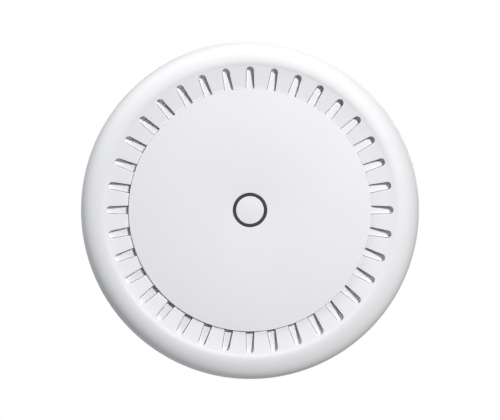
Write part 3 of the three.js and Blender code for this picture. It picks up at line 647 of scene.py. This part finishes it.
def vent_face_rows():
    """Rows over the face: from the edge of the floor, up the wall and its edge, to the border."""
    outline, border = vent_outline(0), vent_border()
    floor_edge = vent_outline(-GROOVE_WIDTH, 0)
    depths = []
    for near, far in zip(outline, floor_edge):
        width = math.hypot(far[0] - near[0], math.radians(far[1] - near[1]) * near[0])
        depths.append(GROOVE_DEPTH * min(1, width / GROOVE_WIDTH))
    rows = [
        [(radius, angle, SEAT_LEVEL) for radius, angle, _ in floor_edge],
        [(edge[0], edge[1], SEAT_LEVEL + depth) for edge, depth in zip(floor_edge, depths)],
        [(edge[0], edge[1], SEAT_LEVEL + depth) for edge, depth in zip(outline, depths)],
    ]
    for tilt in spread(0, math.pi / 2, 3):
        row = []
        for near, far in zip(outline, border):
            edge = min(VENT_EDGE, (SEAT_LEVEL - near[2]) / 2)
            gap = math.hypot(far[0] - near[0], math.radians(far[1] - near[1]) * near[0])
            place = blend(near, far, edge * (1 - math.cos(tilt)) / gap)
            row.append((*place, near[2] + edge * (1 - math.sin(tilt))))
        rows.append(row)
    for share in (0.3, 0.6, 0.85, 1):
        row = []
        for near, far in zip(outline, border):
            radius, angle = blend(near, far, share)
            row.append((radius, angle, dish(radius) if radius > SEAT_RADIUS + 0.1 else near[2]))
        rows.append(row)
    return rows


def rim_profile():
    """The housing's section outside the vents: over the rim, up the side and back inside."""
    across = RIM_RADIUS - DISH_END
    slope = 2 * math.atan((dish(DISH_END) - RIM_LEVEL) / across)
    bend = across / math.sin(slope)
    fillet = []
    for tilt in spread(slope, 0, 8):
        fillet.append((RIM_RADIUS - bend * math.sin(tilt), RIM_LEVEL + bend * (1 - math.cos(tilt))))
    roll = []
    for turn in spread(0, math.pi / 2, 28)[1:]:
        roll.append((
            RIM_RADIUS + (OUTER_RADIUS - RIM_RADIUS) * math.sin(turn),
            WIDEST_LEVEL - (WIDEST_LEVEL - RIM_LEVEL) * math.cos(turn),
        ))
    lean = OUTER_RADIUS - PARTING_RADIUS
    edge = 0.3
    side = []
    rise = PARTING_LEVEL - edge - WIDEST_LEVEL
    for t in spread(0, 1, 12)[1:]:
        side.append((OUTER_RADIUS - lean * t * t, WIDEST_LEVEL + rise * t))
    middle = 0.3 * edge  # how far the rounding's middle is from the corner
    lip = [(PARTING_RADIUS - middle, PARTING_LEVEL - middle), (PARTING_RADIUS - edge, PARTING_LEVEL)]
    inside = [(PARTING_RADIUS - WALL, PARTING_LEVEL)]
    rise = PARTING_LEVEL - WIDEST_LEVEL
    for t in spread(1, 0, 5)[1:]:
        inside.append((OUTER_RADIUS - WALL - lean * t * t, WIDEST_LEVEL + rise * t))
    for turn in spread(math.pi / 2, 0, 8)[1:]:
        inside.append((
            RIM_RADIUS + (OUTER_RADIUS - RIM_RADIUS - WALL) * math.sin(turn),
            WIDEST_LEVEL - (WIDEST_LEVEL - RIM_LEVEL - WALL) * math.cos(turn),
        ))
    return fillet + roll + side + lip + inside + [(DISH_END, underside(DISH_END))]


def add_band(shape, profile):
    """Adds a turned band whose two ends stay open, to be welded to its neighbours."""
    rings = []
    for radius, level in profile:
        points = [(*polar(radius, 360 * segment / SEGMENTS), level) for segment in range(SEGMENTS)]
        rings.append([shape.verts.new(point) for point in points])
    for near, far in zip(rings, rings[1:]):
        for segment in range(SEGMENTS):
            following = (segment + 1) % SEGMENTS
            shape.faces.new((near[segment], near[following], far[following], far[segment]))


def connect(shape, near, far, count, material=0):
    """Faces between two matching rows of points, over the first count edges."""
    for index in range(count):
        following = (index + 1) % len(near)
        face = shape.faces.new((near[index], near[following], far[following], far[index]))
        face.material_index = material


def add_row(shape, row, turn):
    """Adds a row of points (radius, angle, level), turned about the axis."""
    return [shape.verts.new((*polar(radius, angle + turn), level)) for radius, angle, level in row]


def front_housing():
    """The shell with the face: one share of the ring for each vent, welded to turned bands."""
    shape = bmesh.new()
    back_rows, face_rows = vent_back_rows(), vent_face_rows()
    length = len(face_rows[0])
    first = 1  # the loops' points at the outer end of the window
    last = len(vent_side()) * 2 + TIP_STEPS - 3
    for vent in range(VENT_COUNT):
        back, face = [
            [add_row(shape, row, vent * PITCH) for row in rows] for rows in (back_rows, face_rows)
        ]
        for near, far in zip(back, back[1:]):
            connect(shape, near, far, length)
        for step, (near, far) in enumerate(zip(face, face[1:])):
            # Faces in the groove rows get material 1: the painted groove shade.
            connect(shape, near, far, length, int(step in PAINTED_GROOVE_STEPS))
        floor_back, floor_face = back[-1], face[0]
        shape.faces.new(floor_face[first:last + 1])
        shape.faces.new(floor_back[first:last + 1])
        shape.faces.new((floor_face[first], floor_face[last], floor_back[last], floor_back[first]))
        window_face = floor_face[last:] + floor_face[:first + 1]
        window_back = floor_back[last:] + floor_back[:first + 1]
        connect(shape, window_face, window_back, len(window_face) - 1)
    add_band(shape, rim_profile())
    hole = RING_OUTER + 0.8  # the light guide passes here
    add_band(shape, [
        (LAND_RADIUS, SEAT_BACK), (hole, SEAT_BACK), (hole, SEAT_LEVEL), (LAND_RADIUS, SEAT_LEVEL),
    ])
    bmesh.ops.remove_doubles(shape, verts=shape.verts, dist=WELD)
    piece = shade(to_object("front_housing_moulding", shape), 40)
    # The groove faces keep material index 1, the dark painted shade in the vents' grooves.
    painted_shade_faces = [face.material_index for face in piece.data.polygons]
    place(piece, WHITE, "front_housing", "white_shell")
    piece.data.materials.append(PAINTED_GROOVE_SHADE)
    piece.data.polygons.foreach_set("material_index", painted_shade_faces)
    return piece


# ------------------------------------------------------------------------------------------------
# Pieces of the face
# ------------------------------------------------------------------------------------------------


def face_disc():
    """The flat disc, thinner over the windows, so that the air can pass behind it."""
    hole = CAP_RADIUS + 0.5 + RING_OUTER - RING_INNER
    thin = WINDOW_START - 1
    edge = SEAT_RADIUS - 0.07
    corners = [
        (hole, DISC_BACK), (thin, DISC_BACK), (thin, DISC_BACK - 1), (edge, DISC_BACK - 1),
        (edge, DISC_LEVEL), (hole, DISC_LEVEL),
    ]
    profile = rounded(corners, [0.1, 0, 0, 0.1, 0.12, 0.12], 6)
    piece = to_object("face_disc_moulding", lathe(profile))
    return place(shade(piece), WHITE, "face_disc", "white_shell")


def light_ring():
    """The light guide: a tube from the face to the lamps, with a web behind the cap and a flange."""
    face = DISC_LEVEL + 0.1
    web_face, web_back = face + 2.9, face + 4.3
    flange = SEAT_BACK + FIT
    flange_radius = RING_OUTER + 5.5
    top = high("light_ring").z
    corners = [
        (0, web_face), (RING_INNER, web_face), (RING_INNER, face), (RING_OUTER, face),
        (RING_OUTER, flange), (flange_radius, flange), (flange_radius, flange + 1),
        (RING_OUTER, flange + 1), (RING_OUTER, top), (RING_INNER, top), (RING_INNER, web_back),
        (0, web_back),
    ]
    radii = [0, 0, 0.15, 0.15, 0, 0.2, 0.2, 0, 0.1, 0.1, 0, 0]
    piece = to_object("status_ring_moulding", lathe(rounded(corners, radii, 5), 144))
    return place(shade(piece), SMOKED, "light_ring", "status_grey")


def centre_cap():
    """The small disc inside the light ring, with the stem that it is glued in by."""
    back, stem_back, stem = DISC_LEVEL + 1.4, DISC_LEVEL + 2.7, 5
    corners = [
        (0, DISC_LEVEL), (CAP_RADIUS, DISC_LEVEL), (CAP_RADIUS, back), (stem, back),
        (stem, stem_back), (0, stem_back),
    ]
    profile = rounded(corners, [0, 0.15, 0.1, 0, 0.1, 0], 5)
    piece = to_object("centre_cap_moulding", lathe(profile, 144))
    return place(shade(piece), WHITE, "centre_cap", "white_shell")


# ------------------------------------------------------------------------------------------------
# Rear housing and what shows at the back
# ------------------------------------------------------------------------------------------------

REAR_EDGE = PARTING_LEVEL + GAP


def rear_outside(inset=0.0):
    """The outside of the rear housing, from the parting line to the back, or a skin inside it."""
    corners = [
        (0, REAR_EDGE + inset), (PARTING_RADIUS - REAR_INSET - inset, REAR_EDGE + inset),
        (BACK_RADIUS + BACK_CORNER / 2 - inset, BACK_LEVEL - inset), (0, BACK_LEVEL - inset),
    ]
    return rounded(corners, [0, 0.3, 1.5, 0], 6)


def hook(angle):
    """One hook of the twist lock: a stem outside the plate and a toe over its flange."""
    stem = PLATE_RADIUS + 0.4
    outer = PLATE_RADIUS + 2.6
    toe_bottom = FLANGE_LEVEL + GAP
    section = [
        (stem, RECESS_LEVEL - 0.5), (outer, RECESS_LEVEL - 0.5), (outer, HOOK_TOP),
        (TOE_INNER, HOOK_TOP), (TOE_INNER, toe_bottom), (stem, toe_bottom),
    ]
    shape = bmesh.new()
    slices = []
    for turn in spread(angle - HOOK_HALF_ANGLE, angle + HOOK_HALF_ANGLE, 10):
        slices.append([shape.verts.new((*polar(radius, turn), level)) for radius, level in section])
    for near, far in zip(slices, slices[1:]):
        connect(shape, near, far, len(section))
    shape.faces.new(slices[0])
    shape.faces.new(slices[-1])
    return shape


def rear_housing():
    """The rear shell, with the plate's recess, the port bay, the cable exit and three hooks."""
    lip = 2.4
    inside = PARTING_RADIUS - WALL - 0.4
    back = BACK_LEVEL - WALL
    profile = list(reversed(rear_outside()[1:]))
    profile += [
        (inside, REAR_EDGE), (inside - 0.4, REAR_EDGE - lip), (inside - WALL, REAR_EDGE - lip),
        (BACK_RADIUS - WALL / 2, back), (RECESS_RADIUS + WALL, back),
        (RECESS_RADIUS + WALL, RECESS_BACK), (0, RECESS_BACK),
    ]
    piece = to_object("rear_housing_moulding", lathe(profile))
    combine(piece, [bay_walls()], "UNION")
    recess = rod(RECESS_RADIUS, (RECESS_LEVEL, CUT), segments=SEGMENTS)
    combine(piece, [recess, bay_space()], "DIFFERENCE")
    combine(piece, [exit_cheeks()], "UNION")
    combine(piece, [hook(angle) for angle in HOOK_ANGLES], "UNION")
    combine(piece, rear_cutters(), "DIFFERENCE")
    soften(piece, 0.3)
    return place(shade(piece), WHITE, "rear_housing", "white_shell")


def bay_outline(half, end, radius):
    """The port bay seen from the back: two straight sides and an end that follows the housing."""
    swing = math.degrees(math.asin(half / radius))
    curve = [polar(radius, angle) for angle in spread(-90 - swing, -90 + swing, 36)]
    return [(half, end), (-half, end)] + curve


def bay_walls():
    """The port bay's walls and floor, before its space is cut out."""
    half = BAY_HALF_WIDTH + BAY_WALL
    outline = bay_outline(half, BAY_END + BAY_WALL, BAY_RADIUS + BAY_WALL)
    return prism(outline, BAY_FLOOR - BAY_WALL, BACK_LEVEL - WALL / 2)


def bay_space():
    """The space of the port bay, open to the ceiling."""
    return prism(bay_outline(BAY_HALF_WIDTH, BAY_END, BAY_RADIUS), BAY_FLOOR, CUT)


def exit_cheeks():
    """Solid cheeks beside the cable exit, between the bay's end and the side of the housing."""
    half = EXIT_HALF_WIDTH + BAY_WALL
    cheeks = to_object("cheeks", lathe(rear_outside(WALL / 2)))
    keep = block((-half, half), (-OUTER_RADIUS, EXIT_START - WALL), (EXIT_FLOOR - BAY_WALL, 1))
    combine(cheeks, [keep], "INTERSECT")
    shape = bmesh.new()
    shape.from_mesh(cheeks.data)
    bmesh.ops.scale(shape, verts=shape.verts, vec=(1 / MM, 1 / MM, 1 / MM))
    bpy.data.objects.remove(cheeks)
    return shape


def rear_cutters():
    """What is cut out of the rear housing: exit, socket windows, holes and the label's pocket."""
    exit_width = (-EXIT_HALF_WIDTH, EXIT_HALF_WIDTH)
    cutters = [block(exit_width, (-OUTER_RADIUS, EXIT_START), (EXIT_FLOOR, CUT))]
    for number in (1, 2):
        lowest, highest = low(f"ethernet_jack_{number}"), high(f"ethernet_jack_{number}")
        cutters.append(block(
            (lowest.x - GAP, highest.x + GAP), (lowest.y - GAP, lowest.y + WALL),
            (lowest.z, highest.z + FIT),
        ))
    middle = (low("reset_button") + high("reset_button")) / 2
    button_hole = rod(BUTTON_HOLE, (BAY_END - 1, BAY_END + 3), segments=32)
    bmesh.ops.rotate(button_hole, verts=button_hole.verts, matrix=Matrix.Rotation(-math.pi / 2, 3, "X"))
    bmesh.ops.translate(button_hole, verts=button_hole.verts, vec=(middle.x, 0, middle.z))
    cutters.append(button_hole)
    for angle in SCREW_ANGLES:
        cutters.append(rod(SCREW_HOLE, (BOSS_TOP, CUT), polar(SCREW_RADIUS, angle), 32))
        cutters.append(rod(COUNTERBORE, (HEAD_SEAT, CUT), polar(SCREW_RADIUS, angle), 48))
    lowest, highest = low("rating_label"), high("rating_label")
    corners = [
        (lowest.x - GAP, lowest.y - GAP), (highest.x + GAP, lowest.y - GAP),
        (highest.x + GAP, highest.y + GAP), (lowest.x - GAP, highest.y + GAP),
    ]
    label_corner, label_glue = 1.2, 0.1
    cutters.append(prism(rounded(corners, label_corner, 6), lowest.z - label_glue, CUT))
    return cutters


def mounting_plate():
    """The pressed plate on the ceiling, with stops and notches for the hooks, slots and a window."""
    flange_bottom = FLANGE_LEVEL - PLATE_THICKNESS
    step = PLATE_CENTRE + PLATE_STEP
    inner_bend = 0.8
    corners = [
        (0, 0), (PLATE_CENTRE, 0), (step, FLANGE_LEVEL), (PLATE_RADIUS, FLANGE_LEVEL),
        (PLATE_RADIUS, flange_bottom), (step - inner_bend, flange_bottom),
        (PLATE_CENTRE - inner_bend, -PLATE_THICKNESS), (0, -PLATE_THICKNESS),
    ]
    profile = rounded(corners, [0, SHEET_BEND, inner_bend, 0, 0, SHEET_BEND, inner_bend, 0], 5)
    piece = to_object("mounting_plate_pressing", lathe(profile))
    through = (flange_bottom - 1, 1)
    stop_radii, notch_radii = (TOE_INNER, PLATE_RADIUS - 0.2), (TOE_INNER - 0.6, PLATE_RADIUS + 1)
    stops, cutters = [], []
    for angle in HOOK_ANGLES:
        stop_middle = angle + HOOK_HALF_ANGLE + 1.5
        stops.append(ring_sector(stop_radii, stop_middle, 1, (FLANGE_LEVEL - 1, HOOK_TOP)))
        notch_half = HOOK_HALF_ANGLE + 0.8
        cutters.append(ring_sector(notch_radii, angle - UNLOCK_ANGLE, notch_half, through))
    combine(piece, stops, "UNION")
    for angle in SLOT_ANGLES:
        centre = polar(SLOT_CENTRE, angle)
        cutters.append(long_hole(SLOT_LENGTH, SLOT_WIDTH, through, centre, angle + 90))
    cutters.append(prism(rounded(CABLE_WINDOW, 1.5, 6), *through))
    combine(piece, cutters, "DIFFERENCE")
    soften(piece, 0.25)
    return place(shade(piece), ZINC, "mounting_plate", "zinc_steel", "ceiling_plate")


def cable_exit_cover():
    """The piece that closes the cable exit, cut from the housing's outside and hollow behind."""
    half = EXIT_HALF_WIDTH - GAP
    inner = EXIT_START - 3
    floor = EXIT_FLOOR + GAP
    piece = to_object("cable_exit_cover_moulding", lathe(rear_outside()))
    combine(piece, [block((-half, half), (-OUTER_RADIUS, inner), (floor, 1))], "INTERSECT")
    combine(piece, [block((-half + 2, half - 2), (inner - 4, inner + 1), (floor + 2, 1))], "DIFFERENCE")
    soften(piece, 0.25)
    return place(shade(piece), WHITE, "cable_exit_cover", "white_shell", "exit_cover")


def rating_label():
    """The blank label at the back."""
    lowest, highest = low("rating_label"), high("rating_label")
    corners = [
        (lowest.x, lowest.y), (highest.x, lowest.y), (highest.x, highest.y), (lowest.x, highest.y),
    ]
    piece = to_object("rating_label_film", prism(rounded(corners, 1, 6), lowest.z, highest.z))
    soften(piece, 0.05)
    return place(shade(piece), PAPER, "rating_label", "label_paper")


def reset_button():
    """A round pin with a collar that keeps it in the bay's wall."""
    lowest, highest = low("reset_button"), high("reset_button")
    middle = (lowest + highest) / 2
    collar_start = BAY_END + BAY_WALL + GAP - lowest.y
    length = highest.y - lowest.y
    collar_end = collar_start + 0.8
    corners = [
        (0, 0), (BUTTON_RADIUS, 0), (BUTTON_RADIUS, collar_start), (BUTTON_COLLAR, collar_start),
        (BUTTON_COLLAR, collar_end), (BUTTON_RADIUS, collar_end), (BUTTON_RADIUS, length), (0, length),
    ]
    shape = lathe(rounded(corners, [0, 0.3, 0, 0.1, 0.1, 0, 0.1, 0], 4), 48)
    bmesh.ops.rotate(shape, verts=shape.verts, matrix=Matrix.Rotation(-math.pi / 2, 3, "X"))
    bmesh.ops.translate(shape, verts=shape.verts, vec=(middle.x, lowest.y, middle.z))
    piece = to_object("reset_button_moulding", shape)
    return place(shade(piece), SMOKED, "reset_button", "status_grey", "reset_button")


def housing_screw(number):
    """A pan-head screw with a cross recess, standing in its counterbore."""
    lowest, highest = low(f"housing_screw_{number}"), high(f"housing_screw_{number}")
    centre = (lowest + highest) / 2
    radius = (highest.x - lowest.x) / 2
    head_bottom = HEAD_SEAT + FIT
    shank = 1.2
    corners = [
        (0, lowest.z), (shank, lowest.z + shank), (shank, head_bottom), (radius, head_bottom),
        (radius, highest.z), (0, highest.z),
    ]
    shape = lathe(rounded(corners, [0, 0, 0, 0.3, 1.1, 0], 6), 48)
    piece = to_object(f"housing_screw_{number}_body", shape)
    arm = radius * 0.55
    thin = radius * 0.13
    depth = (highest.z - 1.1, highest.z + 1)
    cross = [block((-arm, arm), (-thin, thin), depth), block((-thin, thin), (-arm, arm), depth)]
    combine(piece, cross, "DIFFERENCE")
    soften(piece, 0.06)
    turn = Matrix.Rotation(math.radians(25 * number), 4, "Z")
    piece.data.transform(Matrix.Translation((centre.x * MM, centre.y * MM, 0)) @ turn)
    return place(shade(piece), SCREW, f"housing_screw_{number}", "screw_steel")


def ethernet_jack(number):
    """A shielded socket: the plug's space, the notch for its latch and a rolled mouth."""
    lowest, highest = low(f"ethernet_jack_{number}"), high(f"ethernet_jack_{number}")
    x = (lowest.x + highest.x) / 2
    depth = (lowest.y - 1, lowest.y + SOCKET_DEPTH)
    plug = (x - SOCKET_HALF_WIDTH, x + SOCKET_HALF_WIDTH)
    latch = (x - LATCH_HALF_WIDTH, x + LATCH_HALF_WIDTH)
    outside = block((lowest.x, highest.x), (lowest.y, highest.y), (lowest.z, highest.z))
    piece = to_object(f"ethernet_jack_{number}_shell", outside)
    combine(piece, [
        block(plug, depth, (SOCKET_BOTTOM, SOCKET_TOP)),
        block(latch, depth, (SOCKET_TOP - 1, SOCKET_TOP + LATCH_HEIGHT)),
    ], "DIFFERENCE")
    soften(piece, 0.3)
    return place(shade(piece), TIN, f"ethernet_jack_{number}", "can_steel")


def jack_contacts(number):
    """Eight springs that rise from a bar at the back of the socket and bend down at their tips."""
    lowest, highest = low(f"jack_contacts_{number}"), high(f"jack_contacts_{number}")
    x = (lowest.x + highest.x) / 2
    top = highest.z
    shape = block((lowest.x, highest.x), (highest.y - 1, highest.y), (lowest.z, top))
    strip = [
        (highest.y - 0.5, top - 0.5), (highest.y - 0.5, top - 0.1), (lowest.y + 1.2, top),
        (lowest.y, top - 1.3), (lowest.y + 0.3, top - 1.5), (lowest.y + 1.4, top - 0.4),
    ]
    for contact in range(CONTACT_COUNT):
        middle = x + (contact - (CONTACT_COUNT - 1) / 2) * CONTACT_PITCH
        ends = []
        for side in (middle - CONTACT_HALF_WIDTH, middle + CONTACT_HALF_WIDTH):
            ends.append([shape.verts.new((side, y, z)) for y, z in strip])
        shape.faces.new(ends[0])
        shape.faces.new(ends[1])
        connect(shape, *ends, len(strip))
    piece = to_object(f"jack_contacts_{number}_springs", shape)
    return place(shade(piece), GOLD, f"jack_contacts_{number}", "contact_gold")


# ------------------------------------------------------------------------------------------------
# Stage, lights and camera
# ------------------------------------------------------------------------------------------------

IMAGE_WIDTH = 500
OBJECT_WIDTH_IN_IMAGE = 338
CAMERA_DISTANCE = 2.0  # from the rim to the camera, in metres
FLOOR_LEVEL = -2.8
SENSOR = 36.0

# Direction in the picture in degrees from right towards up, height above the face in degrees,
# power in watts, size in metres, and colour.
NEUTRAL, COOL = (1, 1, 1), (0.86, 0.93, 1)
LIGHTS = {
    "key": (44, 56, 20.8, 0.12, NEUTRAL),
    "top": (124, 11, 11.0, 0.6, NEUTRAL),
    "left": (188, 10, 4.2, 0.6, COOL),
    "bottom": (275, 10, 6.6, 0.6, NEUTRAL),
}
LIGHT_DISTANCE = 1.5
OVERHEAD_STRENGTH = 2.4  # of the wide light above the ceiling plane, for the back and the floor
OVERHEAD_SPREAD = 30  # in degrees
AMBIENT = 0.05  # of the room, on matt surfaces
REFLECTED = 0.4  # what glossy surfaces mirror of it on top
HORIZON = 0.62  # of the backdrop at eye level, from where it rises to white behind the ceiling
WHITE_FROM = 0.6  # the sine of the height above the horizon where the backdrop is white


def add_light(name, direction, height, power, size, colour):
    """A round soft light that looks at the middle of the object from below."""
    across = math.cos(math.radians(height)) * LIGHT_DISTANCE
    down = math.sin(math.radians(height)) * LIGHT_DISTANCE
    spot = Vector((*polar(across, -direction), -down))
    data = bpy.data.lights.new(name, "AREA")
    data.shape = "DISK"
    data.size = size
    data.energy = power
    data.color = colour
    lamp = bpy.data.objects.new(name, data)
    lamp.location = spot
    lamp.rotation_euler = (-spot).to_track_quat("-Z", "Y").to_euler()
    bpy.context.scene.collection.objects.link(lamp)


def studio():
    """The floor, the lamps and the room. The floor throws no light back on the object."""
    floor_shape = bmesh.new()
    bmesh.ops.create_grid(floor_shape, x_segments=8, y_segments=8, size=12 / MM)
    bmesh.ops.translate(floor_shape, verts=floor_shape.verts, vec=(0, 0, FLOOR_LEVEL / MM))
    floor = to_object("room_floor", floor_shape)
    pale = Finish("pale_floor", (0.8, 0.8, 0.8), 0.8).mottle(300, 0.02)
    floor.data.materials.append(pale.material)
    floor.visible_diffuse = False
    floor.visible_glossy = False
    for name, values in LIGHTS.items():
        add_light(name, *values)
    overhead = bpy.data.lights.new("overhead", "SUN")
    overhead.energy = OVERHEAD_STRENGTH
    overhead.angle = math.radians(OVERHEAD_SPREAD)
    lamp = bpy.data.objects.new("overhead", overhead)
    lamp.rotation_euler = (math.radians(20), math.radians(15), 0)
    bpy.context.scene.collection.objects.link(lamp)
    world = bpy.data.worlds.new("studio")
    bpy.context.scene.world = world
    world.use_nodes = True
    nodes, links = world.node_tree.nodes, world.node_tree.links
    background = nodes["Background"]
    background.inputs["Color"].default_value = (1, 1, 1, 1)
    height = nodes.new("ShaderNodeSeparateXYZ")
    links.new(nodes.new("ShaderNodeTexCoord").outputs["Generated"], height.inputs[0])
    backdrop = nodes.new("ShaderNodeMapRange")
    backdrop.inputs["From Max"].default_value = WHITE_FROM
    backdrop.inputs["To Min"].default_value = HORIZON
    backdrop.inputs["To Max"].default_value = 1.0
    links.new(height.outputs["Z"], backdrop.inputs["Value"])
    seen = nodes.new("ShaderNodeLightPath")
    mirrored = nodes.new("ShaderNodeMath")
    mirrored.operation = "MULTIPLY_ADD"
    mirrored.inputs[1].default_value = REFLECTED
    mirrored.inputs[2].default_value = AMBIENT
    links.new(seen.outputs["Is Glossy Ray"], mirrored.inputs[0])
    strength = nodes.new("ShaderNodeMix")
    links.new(seen.outputs["Is Camera Ray"], strength.inputs["Factor"])
    links.new(mirrored.outputs[0], strength.inputs["A"])
    links.new(backdrop.outputs[0], strength.inputs["B"])
    links.new(strength.outputs["Result"], background.inputs["Strength"])
    bpy.context.scene.view_settings.view_transform = "Standard"


def camera():
    """A camera straight below the face, with the lens that gives the object its width in the picture."""
    data = bpy.data.cameras.new("camera")
    data.sensor_width = SENSOR
    widest = CAMERA_DISTANCE + (WIDEST_LEVEL - RIM_LEVEL) * MM
    view_width = 2 * OUTER_RADIUS * MM * IMAGE_WIDTH / OBJECT_WIDTH_IN_IMAGE
    data.lens = SENSOR * widest / view_width
    viewer = bpy.data.objects.new("camera", data)
    viewer.location = (0, 0, RIM_LEVEL * MM - CAMERA_DISTANCE)
    viewer.rotation_euler = (math.pi, 0, 0)
    bpy.context.scene.collection.objects.link(viewer)
    bpy.context.scene.camera = viewer


front_housing()
face_disc()
light_ring()
centre_cap()
rear_housing()
mounting_plate()
cable_exit_cover()
rating_label()
reset_button()
for screw_number in range(1, 5):
    housing_screw(screw_number)
for jack_number in (1, 2):
    ethernet_jack(jack_number)
    jack_contacts(jack_number)
studio()
camera()

bpy.context.view_layer.update()
